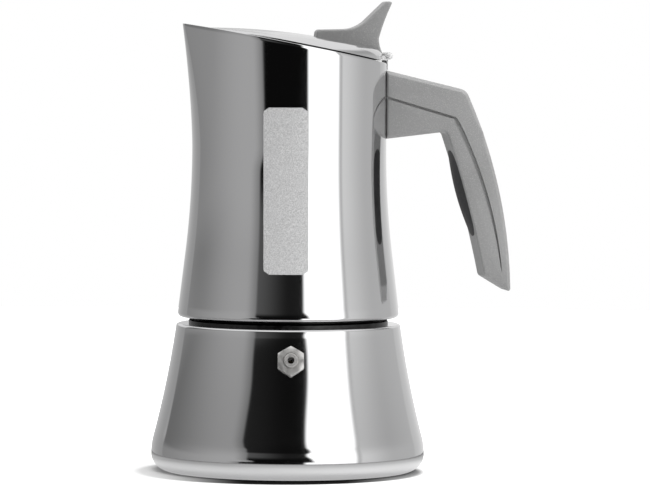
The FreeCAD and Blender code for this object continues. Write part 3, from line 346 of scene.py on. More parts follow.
def chamfer(size, depth):
    """Inset of a flat bevel at a depth under the side face, with its crests just rounded."""
    left = size - depth
    return (left + sqrt(left**2 + 0.03)) / 2 + 0.16 * (depth < 0.02)


def quarter_round(size, depth):
    """Inset of a rounded edge at a depth under the side face."""
    return size - sqrt(max(size**2 - max(size - depth, 0)**2, 0))


def rounded_corner(points, index, rounds, inset):
    """The points that round one corner of an outline whose edges moved in by the inset."""
    point = points[index]
    following = (index + 1) % len(points)
    arriving = (point - points[index - 1]).normalized()
    leaving = (points[following] - point).normalized()
    convex = arriving.x * leaving.y - arriving.y * leaving.x > 0
    room = [(points[other] - point).length * (0.45 if other in rounds else 0.95)
            for other in (index - 1, following)]
    cut = min(max(rounds[index] + inset * (-0.6 if convex else 0.6), 0.3), *room)
    return rounding(point - arriving * cut, point, point + leaving * cut, 8)


def corner_cuts(points, corners):
    """The cut of each rounded corner by the index of its point in the outline."""
    return {index: size for corner, size in corners for index, point in enumerate(points)
            if (point - Vector(corner)).length < 1e-4}


def slab(points, sizes, rounds, half_width, edge, depths, reach):
    """A left-turning side outline carried across Y, its long edges bevelled or rounded.

    sizes holds the bevel of the edge that leaves each point, and rounds the cut that rounds
    a corner, by the point's index. half_width gives half the width at a distance from the
    axis, and edge the inset of a bevel at each of the depths. reach moves a finished point
    to its place.
    """
    levels = [(-1, depth) for depth in depths]
    levels += [(share / 8, depths[-1]) for share in range(-6, 7, 2)]
    levels += [(1, depth) for depth in reversed(depths)]
    rows = []
    for way, depth in levels:
        insets = [edge(size, depth) if size > 0 else 0.0 for size in sizes]
        moved = [inward(points[index - 1], point, points[(index + 1) % len(points)],
                        insets[index - 1], insets[index])
                 for index, point in enumerate(points)]
        row = []
        for index, point in enumerate(moved):
            places = [point]
            if index in rounds:
                inset = max(insets[index - 1], insets[index])
                places = rounded_corner(moved, index, rounds, inset)
            for place in places:
                across = way * (half_width(place.x) - depth)
                row.append(reach(index, Vector((place.x, across, place.y))))
        rows.append(row)
    return tube(rows)


def prism(points, low, high):
    """An outline in XZ carried from one y to another."""
    return tube([[Vector((point[0], y, point[1])) for point in points] for y in (low, high)])


def carve(piece, cutters):
    """Cut closed meshes, given in millimetres, out of a finished piece."""
    for data in cutters:
        cutter = linked("cutter", closed_mesh("cutter", data))
        cut = piece.modifiers.new("cut", "BOOLEAN")
        cut.operation, cut.solver, cut.object = "DIFFERENCE", "MANIFOLD", cutter
        bpy.context.view_layer.update()
        carved = bpy.data.meshes.new_from_object(
            piece.evaluated_get(bpy.context.evaluated_depsgraph_get()))
        piece.modifiers.clear()
        piece.data = carved
        bpy.data.objects.remove(cutter)
    smooth_round(piece.data, 32.0)


def turned(name, corners, body, material, replaced=(), edge=0.15, place=None,
           turns=160):
    """A turned piece from the corners of its outline."""
    points = soften(outline(corners), edge)
    return make_object(name, lathe(points, turns), body, material, replaced, place)


# ---- materials ----

def linear(level):
    """A grey of 0 to 255 as light, which is what a shader's colour holds."""
    share = level / 255
    return share / 12.92 if share <= 0.04045 else ((share + 0.055) / 1.055) ** 2.4


def colour(red, green, blue):
    return (linear(red), linear(green), linear(blue), 1.0)


def grey(level):
    return colour(level, level, level)


class Shader:
    """A material or world tree with a short way to add and link its nodes."""

    def __init__(self, tree):
        self.tree = tree
        tree.nodes.clear()

    def node(self, kind, inputs=None, **settings):
        """A node whose inputs are values or the outputs of other nodes."""
        made = self.tree.nodes.new("ShaderNode" + kind)
        for key, setting in settings.items():
            setattr(made, key, setting)
        for key, source in (inputs or {}).items():
            if isinstance(source, bpy.types.NodeSocket):
                self.tree.links.new(source, made.inputs[key])
            else:
                made.inputs[key].default_value = source
        return made

    def maths(self, operation, *numbers):
        return self.node("Math", dict(enumerate(numbers)), operation=operation).outputs[0]

    def add(self, first, second):
        return self.maths("ADD", first, second)

    def times(self, first, second):
        return self.maths("MULTIPLY", first, second)

    def less(self, first, second):
        return self.maths("SUBTRACT", first, second)

    def ramp(self, source, low, high, start=0.0, stop=1.0):
        """Smooth change from start to stop as source goes from low to high."""
        return self.node("MapRange", {"Value": source, "From Min": low, "From Max": high,
                                      "To Min": start, "To Max": stop},
                         interpolation_type="SMOOTHSTEP").outputs[0]

    def mix(self, share, first, second):
        return self.node("Mix", {0: share, 6: first, 7: second}, data_type="RGBA").outputs[2]

    def place(self, kind="Object"):
        return self.node("TexCoord").outputs[kind]

    def noise(self, scale, stretch=(1, 1, 1), detail=3.0):
        fitted = self.node("Mapping", {"Vector": self.place(), "Scale": stretch})
        return self.node("TexNoise", {"Vector": fitted.outputs[0], "Scale": scale,
                                      "Detail": detail}).outputs["Fac"]

    def rough(self, noise, low, high):
        """Roughness that follows a noise."""
        return self.ramp(noise, 0.2, 0.8, low, high)

    def over(self, level, mask, new_level):
        """The level, with a new one laid over it where the mask is 1."""
        kept = self.times(level, self.less(1.0, mask))
        return self.add(kept, self.times(mask, new_level))

    def bump(self, height, strength, distance, **under):
        return self.node("Bump", {"Height": height, "Strength": strength,
                                  "Distance": distance, **under}).outputs[0]


class Material(Shader):
    """The tree of a new material, closed by its surface."""

    def __init__(self, name):
        self.material = bpy.data.materials.new(name)
        self.material.use_nodes = True
        super().__init__(self.material.node_tree)

    def surface(self, tone, metallic, roughness, normal=None):
        inputs = {"Base Color": tone, "Metallic": metallic, "Roughness": roughness}
        if normal:
            inputs["Normal"] = normal
        principled = self.node("BsdfPrincipled", inputs)
        self.node("OutputMaterial", {"Surface": principled.outputs[0]})
        return self.material


def polished_steel(name, roughness):
    """Mirror polish with the faint waviness and long polishing lines of drawn steel."""
    shader = Material(name)
    wave = shader.noise(9.0, (1.0, 1.0, 0.35), 1.0)
    lines = shader.noise(160.0, (1.0, 1.0, 0.03), 2.0)
    smear = shader.noise(14.0, (1.0, 1.0, 0.4), 3.0)
    return shader.surface(
        (0.74, 0.74, 0.745, 1), 1.0,
        shader.ramp(smear, 0.3, 0.7, 0.7 * roughness, 1.3 * roughness),
        shader.bump(lines, 0.10, 0.00002, Normal=shader.bump(wave, 0.5, 0.0004)))


def satin_steel(name, low, high, metallic, roughness):
    """Spun steel left as it comes off the press, with fine turning lines."""
    shader = Material(name)
    rings = shader.noise(900.0, (0.15, 0.15, 1.0), 2.0)
    cloud = shader.noise(40.0)
    tone = shader.mix(shader.ramp(cloud, 0.3, 0.7), (low, low, low, 1), (high, high, high, 1))
    return shader.surface(tone, metallic,
                          shader.rough(cloud, roughness - 0.07, roughness + 0.07),
                          shader.bump(rings, 0.25, 0.00005))


def thread_steel_painted_shade():
    """Dull steel for the thread, coloured near black: painted shade for the neck deep in the
    gap.
    """
    shader = Material("thread_steel_painted_shade")
    grain = shader.noise(500.0)
    tone = shader.mix(shader.ramp(grain, 0.3, 0.7), (0.035, 0.035, 0.035, 1),
                      (0.06, 0.06, 0.06, 1))
    return shader.surface(tone, 1.0, shader.rough(grain, 0.30, 0.42))


def plated_brass():
    """Nickel plating over turned brass: bright, with a little grain."""
    shader = Material("valve_plating")
    grain = shader.noise(700.0)
    return shader.surface((0.68, 0.67, 0.655, 1), 0.9, shader.rough(grain, 0.34, 0.46),
                          shader.bump(grain, 0.2, 0.00003))


def bare_brass():
    """Brass darkened by steam."""
    shader = Material("brass")
    grain = shader.noise(600.0)
    tone = shader.mix(grain, (0.07, 0.05, 0.025, 1), (0.12, 0.09, 0.05, 1))
    return shader.surface(tone, 1.0, shader.rough(grain, 0.22, 0.34))


def moulded_plastic(name, level):
    """Fine-grained moulded plastic with a faint metallic fleck."""
    shader = Material(name)
    grain = shader.noise(1500.0, detail=2.0)
    cloud = shader.noise(30.0)
    fleck = shader.noise(3800.0, detail=0.0)
    tone = shader.mix(shader.ramp(cloud, 0.3, 0.7), grey(level - 5), grey(level + 4))
    tone = shader.mix(shader.ramp(fleck, 0.62, 0.72), tone,
                      colour(level + 26, level + 26, level + 25))
    return shader.surface(tone, 0.0, shader.rough(grain, 0.37, 0.47),
                          shader.bump(grain, 0.35, 0.00004))


def soft_rubber(name, level, roughness):
    """Rubber with a soft bloom on it."""
    shader = Material(name)
    grain = shader.noise(1200.0)
    cloud = shader.noise(60.0)
    tone = shader.mix(cloud, colour(level - 6, level - 6, level - 5),
                      colour(level + 6, level + 6, level + 7))
    return shader.surface(tone, 0.0, shader.rough(grain, roughness - 0.07, roughness + 0.07),
                          shader.bump(grain, 0.4, 0.00005))


def speckled_plate():
    """Sand-blasted metal foil: a fine bright speckle on silver grey."""
    shader = Material("plate_speckle")
    speckle = shader.noise(2800.0)
    tone = shader.mix(shader.ramp(speckle, 0.32, 0.68), colour(168, 168, 169), grey(208))
    return shader.surface(tone, 0.15, 0.55, shader.bump(speckle, 0.5, 0.00006))


STEEL = polished_steel("polished_steel", 0.065)
LID_STEEL = polished_steel("lid_steel", 0.12)
SATIN = satin_steel("satin_steel", 0.52, 0.66, 1.0, 0.31)
LEAF_STEEL = satin_steel("leaf_steel", 0.72, 0.82, 0.6, 0.45)
THREAD_STEEL_PAINTED_SHADE = thread_steel_painted_shade()
PLATING = plated_brass()
BRASS = bare_brass()
HANDLE_GREY = moulded_plastic("handle_plastic", 140)
KNOB_GREY = moulded_plastic("knob_plastic", 139)
GRIP_BLACK = soft_rubber("grip_rubber", 50, 0.62)
SILICONE = soft_rubber("silicone", 225, 0.5)
SPECKLE = speckled_plate()


# ---- boiler ----

def boiler_radius(height):
    rise = BOILER_CURVE_HEIGHT - height
    return BOILER_CURVE_RADIUS + BOILER_CURVE - sqrt(BOILER_CURVE**2 - rise**2)


def make_boiler():
    """Shell with its rounded foot and bulge, and the neck that stands on it, painted near black
    as shade.
    """
    wall_top = SHOULDER_CREST - SHOULDER_ROUND
    low, shoulder = boiler_radius(BULGE_START), boiler_radius(wall_top)
    widest = low + BULGE
    foot = widest - FOOT_INSET
    top, inner_top = SHOULDER_CREST + 0.2, SHOULDER_CREST - BOILER_WALL
    floor_wall = 1.5
    turned("boiler_shell_fine", [
        (0, 0), (foot, 0), (widest, BULGE_HEIGHT, FOOT_ROUND), (low, BULGE_START, BULGE_ROUND),
        (shoulder, wall_top, -BOILER_CURVE),
        (shoulder - SHOULDER_ROUND, SHOULDER_CREST, SHOULDER_ROUND),
        (THREAD_ROOT + 0.3, top), (MOUTH, top), (MOUTH, inner_top),
        (shoulder - SHOULDER_ROUND - 0.3, inner_top), (shoulder - BOILER_WALL, wall_top - 0.6),
        (low - BOILER_WALL, BULGE_START, BOILER_CURVE + BOILER_WALL),
        (widest - BOILER_WALL, BULGE_HEIGHT),
        (foot, floor_wall, -(FOOT_ROUND - BOILER_WALL)), (0, floor_wall),
    ], "boiler", STEEL, ["boiler_shell"], turns=256)
    # The neck and its collar wear the near-black steel: painted shade in the gap under the
    # collector.
    collar_top = SHOULDER + 2.4
    turned("boiler_neck", [
        (MOUTH + 0.05, SHOULDER), (COLLAR_RADIUS, SHOULDER), (COLLAR_RADIUS, collar_top - 0.4),
        (COLLAR_RADIUS - 0.5, collar_top), (THREAD_ROOT, collar_top),
        (THREAD_ROOT, NECK_TOP - 0.6), (THREAD_ROOT - 0.6, NECK_TOP), (MOUTH, NECK_TOP),
    ], "boiler", THREAD_STEEL_PAINTED_SHADE)


def make_thread():
    """A rounded thread ridge wound up the neck, run out at both its ends."""
    pitch, turns, steps = 3.2, 2.4, 72
    depth = THREAD_RADIUS - THREAD_ROOT
    ridge = ((-0.5, -0.15), (-0.28, 0.55), (-0.12, 0.95), (0, 1), (0.12, 0.95),
             (0.28, 0.55), (0.5, -0.15))
    rows = []
    for index in range(round(turns * steps) + 1):
        angle = 2 * pi * index / steps
        height = SHOULDER + 2.0 + pitch * index / steps
        run_out = min(1.0, index / 12, (turns * steps - index) / 12)
        row = []
        for across, share in ridge:
            radius = THREAD_ROOT + depth * share * (run_out if share > 0 else 1)
            row.append(polar(radius, angle, height + across * pitch))
        rows.append(row)
    # The thread takes the near-black steel too: painted shade.
    make_object("neck_thread", tube(rows), "boiler", THREAD_STEEL_PAINTED_SHADE)


# ---- collector ----

def spout_reach(angle, height, inset):
    """Distance from the axis to the wall, angle measured from the spout's direction."""
    wall = WAIST_RADIUS - inset
    share = min(max((height - WAIST) / BLANK_RISE, 0), 1.2)
    grown = share**SPOUT_GROWTH
    if grown < 1e-4:
        return wall
    shift = (WAIST_RADIUS + SPOUT_PULL - SPOUT_ROUND) * grown
    nose = WAIST_RADIUS - (WAIST_RADIUS - SPOUT_ROUND) * grown - inset
    lead = (wall - nose)**2 - shift**2
    lead /= 2 * (shift * cos(SPOUT_SPLIT) - (wall - nose))
    centre = (-lead * cos(SPOUT_SPLIT), -lead * sin(SPOUT_SPLIT))
    spread = atan2(-centre[1], shift - centre[0])
    edge = atan2(nose * sin(spread), shift + nose * cos(spread))
    angle = abs(angle)
    if angle > SPOUT_SPLIT:
        return wall
    if angle > edge:
        place, radius = Vector(centre), wall + lead
    else:
        place, radius = Vector((shift, 0)), nose
    ray = Vector((cos(angle), sin(angle)))
    along = ray.dot(place)
    return along + sqrt(max(along**2 - place.length_squared + radius**2, 0))


def wall_point(turn, height, inset=0.0):
    """A point on the collector's wall; turn is measured from the handle, towards +Y."""
    if height < WAIST:
        if height > BEND:
            rise = WAIST - height
            radius = WAIST_RADIUS + WAIST_CURVE - sqrt(WAIST_CURVE**2 - rise**2)
        else:
            radius = BEND_RADIUS + (BEND - height) * CONE_SLOPE
        radius -= inset
    else:
        from_spout = remainder(turn - pi, 2 * pi)
        radius = spout_reach(from_spout, height, inset)
    return polar(radius, turn, height)


def rim_height(turn):
    """Height at which the slanting cut of the rim meets the wall, found by closing in."""
    height = RIM
    for _ in range(6):
        height = RIM - RIM_DROP - wall_point(turn, height).x * RIM_SLOPE
    return height


def climb(turn, low, high, steps, inset=0.0):
    """Points up the wall from low, which is left out, to high."""
    return [wall_point(turn, low + (high - low) * step / steps, inset)
            for step in range(1, steps + 1)]


def collector_column(turn):
    """The closed section of the wall at one angle, from the hem's inner edge outwards."""
    round_top = SKIRT + SKIRT_ROUND
    reach = wall_point(turn, round_top).xy.length
    top, lip, edge = rim_height(turn), 0.25, 0.07
    hem = [Vector((reach - HEM, SKIRT)), Vector((reach - SKIRT_ROUND, SKIRT))]
    hem += arc(hem[1], (reach, round_top), SKIRT_ROUND, 12)
    points = [polar(point.x, turn, point.y) for point in hem]
    points += climb(turn, round_top, BEND, 8)
    points += climb(turn, BEND, WAIST, 16)
    points += climb(turn, WAIST, top - lip, 36)
    points += [wall_point(turn, top - edge, edge), wall_point(turn, top, lip),
               wall_point(turn, top, WALL - lip), wall_point(turn, top - edge, WALL - edge)]
    points += climb(turn, WAIST, top - lip, 36, WALL)[::-1]
    points += climb(turn, BEND, WAIST, 16, WALL)[::-1]
    points += climb(turn, round_top, BEND, 4, WALL)[::-1]
    inner = arc((reach - WALL, round_top), (reach - SKIRT_ROUND, SKIRT + WALL),
                -(SKIRT_ROUND - WALL), 6)
    inner.append(Vector((reach - HEM, SKIRT + WALL)))
    return points + [polar(point.x, turn, point.y) for point in inner]


def make_collector():
    """The jug's wall: one sheet from the hem to the slanting rim, with its spout."""
    around = 320
    columns = [collector_column(2 * pi * turn / around) for turn in range(around)]
    make_object("collector_body_fine", tube(columns, True), "collector", STEEL,
                ["collector_body"])


def make_bare_plate():
    """The bare foil plate on the front of the wall, with rounded corners."""
    half_width, low, high, corner = 8.41, 76.85, 139.45, 2.1
    middle, lean, thickness, sunk = -1.1, 0.37, 0.12, 0.05
    steps_across, steps_up = 20, 48
    rows = []
    for up in range(steps_up + 1):
        height = low + (high - low) * up / steps_up
        from_end = min(height - low, high - height)
        trim = corner - sqrt(corner**2 - max(corner - from_end, 0)**2)
        reach = wall_point(-pi / 2, height, -thickness).xy.length
        shift = middle + lean * (high - height) / (high - low)
        turns = [CAMERA_TURN - pi / 2 + asin(
            (shift + (2 * across / steps_across - 1) * (half_width - trim)) / reach)
                 for across in range(steps_across + 1)]
        rows.append([wall_point(turn, height, -thickness) for turn in turns]
                    + [wall_point(turn, height, sunk) for turn in reversed(turns)])
    make_object("bare_plate", tube(rows), "collector", SPECKLE)


# ---- lid ----

def dome(across, depth=0.0):
    """Height of the lid's dome in the lid's own frame, or of a face that deep under it."""
    return LID_RISE - LID_CURVE + sqrt((LID_CURVE - depth)**2 - across**2)


def border(low, inset=0.0):
    """The lid's rounded border, from the dome down to its lower edge."""
    start = LID_RADIUS - LID_BORDER - inset / 2
    start = (start, dome(start, inset))
    return [start] + arc(start, (LID_RADIUS - inset, low), -LID_BORDER_ROUND, 8)


def lid_height(across):
    """Height of the lid's outside, measured towards the hinge."""
    low = LID_LOWEST + 0.02
    points = border(low)
    if across <= points[0][0]:
        return dome(across)
    for before, after in zip(points, points[1:]):
        if across <= after[0]:
            share = (across - before[0]) / (after[0] - before[0])
            return before[1] + (after[1] - before[1]) * share
    return low


def make_lid():
    """Dome with a rounded border whose lower edge keeps clear of the wall's rim."""
    rows = []
    slope = RIM_SLOPE - tan(LID_LEAN) + LID_WEDGE
    around = 240
    for step in range(around):
        turn = 2 * pi * step / around
        rim_here = -LID_LIFT - RIM_DROP - LID_RADIUS * cos(turn) * slope
        low = max(LID_LOWEST, min(rim_here + LID_SLIT, LID_EDGE - 0.55))
        edge, hollow = border(low + 0.02), border(low + 0.01, LID_WALL)
        profile = [(edge[0][0] * ring / 12, dome(edge[0][0] * ring / 12))
                   for ring in range(12)] + edge + hollow[::-1]
        profile += [(hollow[0][0] * ring / 8, dome(hollow[0][0] * ring / 8, LID_WALL))
                    for ring in range(7, -1, -1)]
        rows.append([polar(across, turn, height + LID_WEDGE * across * cos(turn))
                     for across, height in profile])
    make_object("lid_fine", tube(rows, True), "lid", LID_STEEL, ["lid"],
                LID_FRAME)


def make_lid_knob():
    """Moulded lever with rounded edges, standing on the dome."""
    front, back = KNOB_NOSE[0] - 1.4, KNOB_BACK - 1.9
    base = [Vector((place, lid_height(place) + LID_WEDGE * place)) for place in
            [front + (back - front) * step / 20 for step in range(21)]]
    upper = outline([tuple(base[-1]), (KNOB_BACK - 4.1, 6.2, -12.0), (*KNOB_TIP, -80.0),
                     KNOB_CREST, KNOB_LEAN, (*KNOB_SWEEP, -13.1), KNOB_NOSE,
                     (front, KNOB_NOSE[1] - 1.3, 1.6)])[1:]
    points = base + upper
    sizes = [0.0] * (len(base) - 1) + [KNOB_BEVEL] * (len(upper) + 1)

    def on_dome(index, place):
        if index < len(base):
            place.z = lid_height(hypot(place.x, place.y)) + LID_WEDGE * place.x - 0.1
        return place

    def half_width(across):
        widening = (KNOB_HALF - KNOB_NOSE_HALF) / (KNOB_BACK - front)
        return KNOB_NOSE_HALF + widening * (across - front)

    data = slab(points, sizes, corner_cuts(points, ((KNOB_TIP, 1.0), (KNOB_CREST, 1.3))),
                half_width, quarter_round, (0, 0.04, 0.12, 0.25, 0.42, 0.65, KNOB_BEVEL),
                on_dome)
    make_object("lid_knob_fine", data, "lid", KNOB_GREY, ["lid_knob"], LID_FRAME)


# ---- hinge ----

def knuckle(name, body, low, high, replaced=()):
    """A tube round the hinge pin between two places along it."""
    turned(name, [(0.85, low), (HINGE_RADIUS, low), (HINGE_RADIUS, high), (0.85, high)], body,
           LEAF_STEEL, replaced, 0.12, HINGE_FRAME, 48)


def make_bracket():
    """Leaf bent round the wall, with an ear and a knuckle at each end of the pin."""
    inner, wall = WAIST_RADIUS + 0.02, 0.4
    half_turn = degrees(asin((HINGE_HALF - 0.05) / (inner + wall)))
    room_turn = degrees(asin(HINGE_ROOM / (inner + wall)))
    pin_height = HINGE_FRAME.translation.z
    step_height = pin_height - HINGE_RADIUS - KNUCKLE_GAP
    for name, low, high, start, stop in (
            ("bracket_leaf", pin_height - 5.3, step_height, -half_turn, half_turn),
            ("bracket_ear_near", step_height - 0.2, pin_height, -half_turn, -room_turn),
            ("bracket_ear_far", step_height - 0.2, pin_height, room_turn, half_turn)):
        plate = soften(outline([(inner, low), (inner + wall, low), (inner + wall, high),
                                (inner, high)]), 0.15)
        make_object(name, lathe(plate, 480, start, stop), "collector", LEAF_STEEL)
    knuckle("bracket_knuckle_near", "collector", HINGE_ROOM, HINGE_HALF, ["hinge_bracket"])
    knuckle("bracket_knuckle_far", "collector", -HINGE_HALF, -HINGE_ROOM)


def make_lid_hinge():
    """Knuckle on the lid with the leaf that carries it, and a cheek at each side of it."""
    knuckle("lid_knuckle", "lid", -LID_KNUCKLE / 2, LID_KNUCKLE / 2, ["lid_hinge_leaf"])
    side = LID_RADIUS - LID_WALL - 0.05
    start = side - 8.0
    under, leaf_wall = LID_WALL + 0.12, 0.8
    leaf = [(start, dome(start, under) - leaf_wall), (side, dome(side, under) - leaf_wall),
            (HINGE_U, -HINGE_RADIUS / 2), (HINGE_U, 0), (LID_RADIUS + 0.05, dome(side, under)),
            (side, dome(side, under)), (start, dome(start, under))]
    room, cheek_low = 1.5, -1.9
    cheek = [(HINGE_U + room * cos(radians(turn)), room * sin(radians(turn)))
             for turn in range(245, 180, -8)]
    cheek += [(HINGE_U - 2.4, -0.3), (HINGE_U - 2.6, cheek_low), (HINGE_U - 0.64, cheek_low)]
    for name, shape, low, high, material in (
            ("lid_leaf", leaf, -LID_KNUCKLE / 2, LID_KNUCKLE / 2, SATIN),
            ("lid_cheek_near", cheek, -HINGE_HALF, -HINGE_ROOM, LEAF_STEEL),
            ("lid_cheek_far", cheek, HINGE_ROOM, HINGE_HALF, LEAF_STEEL)):
        make_object(name, prism(shape, low, high), "lid", material,
                    place=LID_FRAME)


def make_hinge_pin():
    """Pin with a domed head at each end."""
    shank, head, head_wall, crown = 0.8, 1.15, 0.2, 0.6
    turned("hinge_pin_fine", [
        (0, -HINGE_HALF - crown), (head, -HINGE_HALF - head_wall, 1.4), (head, -HINGE_HALF),
        (shank, -HINGE_HALF), (shank, HINGE_HALF),
        (head, HINGE_HALF), (head, HINGE_HALF + head_wall), (0, HINGE_HALF + crown, 1.4),
    ], "collector", LEAF_STEEL, ["hinge_pin"], 0.05, HINGE_FRAME, 48)


# ---- handle ----

def grip_point(distance, aside):
    """A point down the grip's inner edge from the arm, and out from the pot."""
    return Vector((CROTCH[0] + distance * GRIP_RUN + aside * GRIP_FALL,
                   CROTCH[1] - distance * GRIP_FALL + aside * GRIP_RUN))


def grip_face(distance):
    """How far the grip's hollow inner face lies behind the line from crotch to heel."""
    hollow = GRIP_LENGTH**2 / (8 * GRIP_CURVE)
    return hollow * (1 - (2 * distance / GRIP_LENGTH - 1)**2)


def insert_shape(grow, front=None):
    """The soft pad, or with grow its recess: a long oval lens let into the grip's face.

    front, where given, is a flat front that lies so far aside of the grip's inner edge.
    """
    along, across = 40, 16
    length = INSERT_LENGTH + 2 * grow
    places = [2 * place / across - 1 for place in range(across + 1)]
    rows = []
    for step in range(along + 1):
        share = 2 * step / along - 1
        share = copysign(1 - (1 - abs(share))**1.5, share)
        half = max((INSERT_HALF + grow) * max(1 - abs(share)**9, 0.0)**0.5, 0.02)
        distance = INSERT_START + INSERT_LENGTH / 2 + share * length / 2
        face, bulge = grip_face(distance), 1 - share**2
        asides = [face - 0.03 - (INSERT_SWELL + 0.45) * (1 - abs(place)**2.4) * bulge
                  if front is None else front for place in places]
        asides += [face + 0.9 + 1.6 * bulge + grow] * len(places)
        row = []
        for place, aside in zip(places + places[::-1], asides):
            point = grip_point(distance, aside)
            row.append(Vector((point.x, place * half, point.y)))
        rows.append(row)
    return tube(rows)


def groove_outline():
    """The line that follows the arm and the grip, widest at the bend and run out to a point."""
    start, bend = Vector(GROOVE_START), Vector(GROOVE_BEND)
    path = [start.lerp(bend, step / 12) for step in range(12)]
    path += [bend] + arc(bend, GROOVE_TAIL, -GROOVE_CURVE, 24)
    bend_share = 0.34
    left, right = [], []
    for index, point in enumerate(path):
        along = path[min(index + 1, len(path) - 1)] - path[max(index - 1, 0)]
        share = index / (len(path) - 1)
        width = GROOVE_WIDTH
        if share >= bend_share:
            run_out = 1 - (share - bend_share) / (1 - bend_share)
            width = 0.02 + GROOVE_SWELL * run_out**0.5
        aside = Vector((-along.y, along.x)).normalized() * width / 2
        left.append(point + aside)
        right.append(point - aside)
    return left + right[::-1]


def handle_bevels(points):
    """The bevel of the edge that leaves each point of the handle's outline."""
    bevels = []
    for index, point in enumerate(points):
        middle = (point + points[(index + 1) % len(points)]) / 2
        if middle.x < HANDLE_ROOT + 0.01:
            bevels.append(0.0)
        elif middle.x > HEEL[0] + 0.3 or middle.y > CROTCH[1] + 1:
            bevels.append(EDGE_BEVEL)
        elif middle.x < CROTCH[0] - 1:
            bevels.append(UNDER_BEVEL)
        else:
            bevels.append(INNER_BEVEL)
    return bevels


def on_saddle(index, place):
    """Points at the handle's root moved out to the round wall; the rest stay."""
    if place.x > HANDLE_ROOT + 0.5:
        return place
    reach = sqrt((WAIST_RADIUS + 0.1)**2 - place.y**2)
    reach += chamfer(END_BEVEL, HANDLE_HALF - abs(place.y))
    slant = UNDER_SLOPE if index == 0 else -ARM_SLOPE
    return Vector((reach, place.y, place.z + slant * (reach - place.x)))


def make_handle():
    """Bevelled handle with its run-out grooves, insert recess and screw recess."""
    points = outline([
        (HANDLE_ROOT, ARM_BOTTOM), CROTCH, (*HEEL, -GRIP_CURVE), TOE, (*ELBOW, BACK_CURVE),
        (HANDLE_ROOT, ARM_TOP + ARM_SLOPE * (HANDLE_OUT - HANDLE_ROOT))])
    cuts = corner_cuts(points, ((CROTCH, 2.0), (HEEL, 0.6), (TOE, 2.0), (ELBOW, 2.6)))
    data = slab(points, handle_bevels(points), cuts, lambda across: HANDLE_HALF, chamfer,
                (0, 0.05, 0.15, 0.4, 0.55, 0.75, 1.0, 1.25, 1.45, 1.7, 2.3), on_saddle)
    handle = make_object("handle_fine", data, "collector", HANDLE_GREY, ["handle"])
    line = groove_outline()
    recess = lathe(outline([(0, WAIST - 8), (SCREW_RECESS, WAIST - 8),
                            (SCREW_RECESS, SCREW_SEAT), (0, SCREW_SEAT)]), 48)
    recess.transform(Matrix.Translation((SCREW_OUT, 0, 0)))
    carve(handle, [prism(line, -HANDLE_HALF - 1, -HANDLE_HALF + GROOVE_DEPTH),
                   prism(line, HANDLE_HALF - GROOVE_DEPTH, HANDLE_HALF + 1),
                   insert_shape(0.1, -6.0), recess])
    make_object("grip_insert_fine", insert_shape(0.0), "collector", GRIP_BLACK,
                ["grip_insert"], sharp=50)


# ---- safety valve ----

def valve_frame():
    """The valve's own frame: its axis stands square on the boiler's wall."""
    rise = BOILER_CURVE_HEIGHT - VALVE_HEIGHT
    tilt = atan(rise / sqrt(BOILER_CURVE**2 - rise**2))
    return (Matrix.Rotation(VALVE_TURN, 4, "Z")
            @ Matrix.Translation((0, -boiler_radius(VALVE_HEIGHT), VALVE_HEIGHT))
            @ Matrix.Rotation(radians(90) - tilt, 4, "X"))


def make_valve_spring():
    """Round wire wound between the poppet's head and the lip."""
    steps = 48
    rise = SPRING_HIGH - SPRING_LOW - 2 * SPRING_WIRE
    rows = []
    for index in range(round(SPRING_TURNS * steps) + 1):
        angle = 2 * pi * index / steps
        middle = SPRING_LOW + SPRING_WIRE + rise * index / (SPRING_TURNS * steps)
        section = [polar(SPRING_WIRE, 2 * pi * corner / 10) for corner in range(10)]
        rows.append([polar(SPRING_COIL + point.x, angle, middle + point.y)
                     for point in section])
    place = valve_frame()
    spring = make_object("valve_spring_fine", tube(rows), "boiler", SATIN, ["valve_spring"],
                         place)
    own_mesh(spring)


def make_valve():
    """Hexagon with turned corners and a drilled boss, its shank let through the wall."""
    face, half, seat, rim = 3.6, 4.9, 0.6, 0.12
    shank, boss, outlet = 3.6, 2.55, 1.3
    sixth = radians(60)
    rows = []
    for step in range(180):
        turn = 2 * pi * step / 180
        corner = half / cos(remainder(turn - sixth, sixth))
        edge = face - (corner - half) / 2
        profile = [
            (VALVE_BORE, -6.0), (shank, -6.0), (shank, seat), (corner - rim, seat),
            (corner, seat + rim), (corner, edge - rim), (corner - 0.1, edge),
            (half - 0.25, face), (3.0, face), (2.92, face - 0.3), (boss + 0.05, face - 0.3),
            (boss, face + 0.1), (boss, face + 1.3), (boss - 0.2, face + 1.5),
            (outlet + 0.1, face + 1.5), (outlet, face + 1.4), (outlet - 0.05, face - 0.6),
            (VALVE_BORE, face - 0.6)]
        rows.append([polar(radius, turn, up) for radius, up in profile])
    make_object("valve_body_fine", tube(rows, True), "boiler", PLATING, ["valve_body"],
                valve_frame())


# ---- studio ----

def grey_of(shader, level):
    """A grey colour whose level is a socket."""
    return shader.node("CombineColor", {0: level, 1: level, 2: level}).outputs[0]


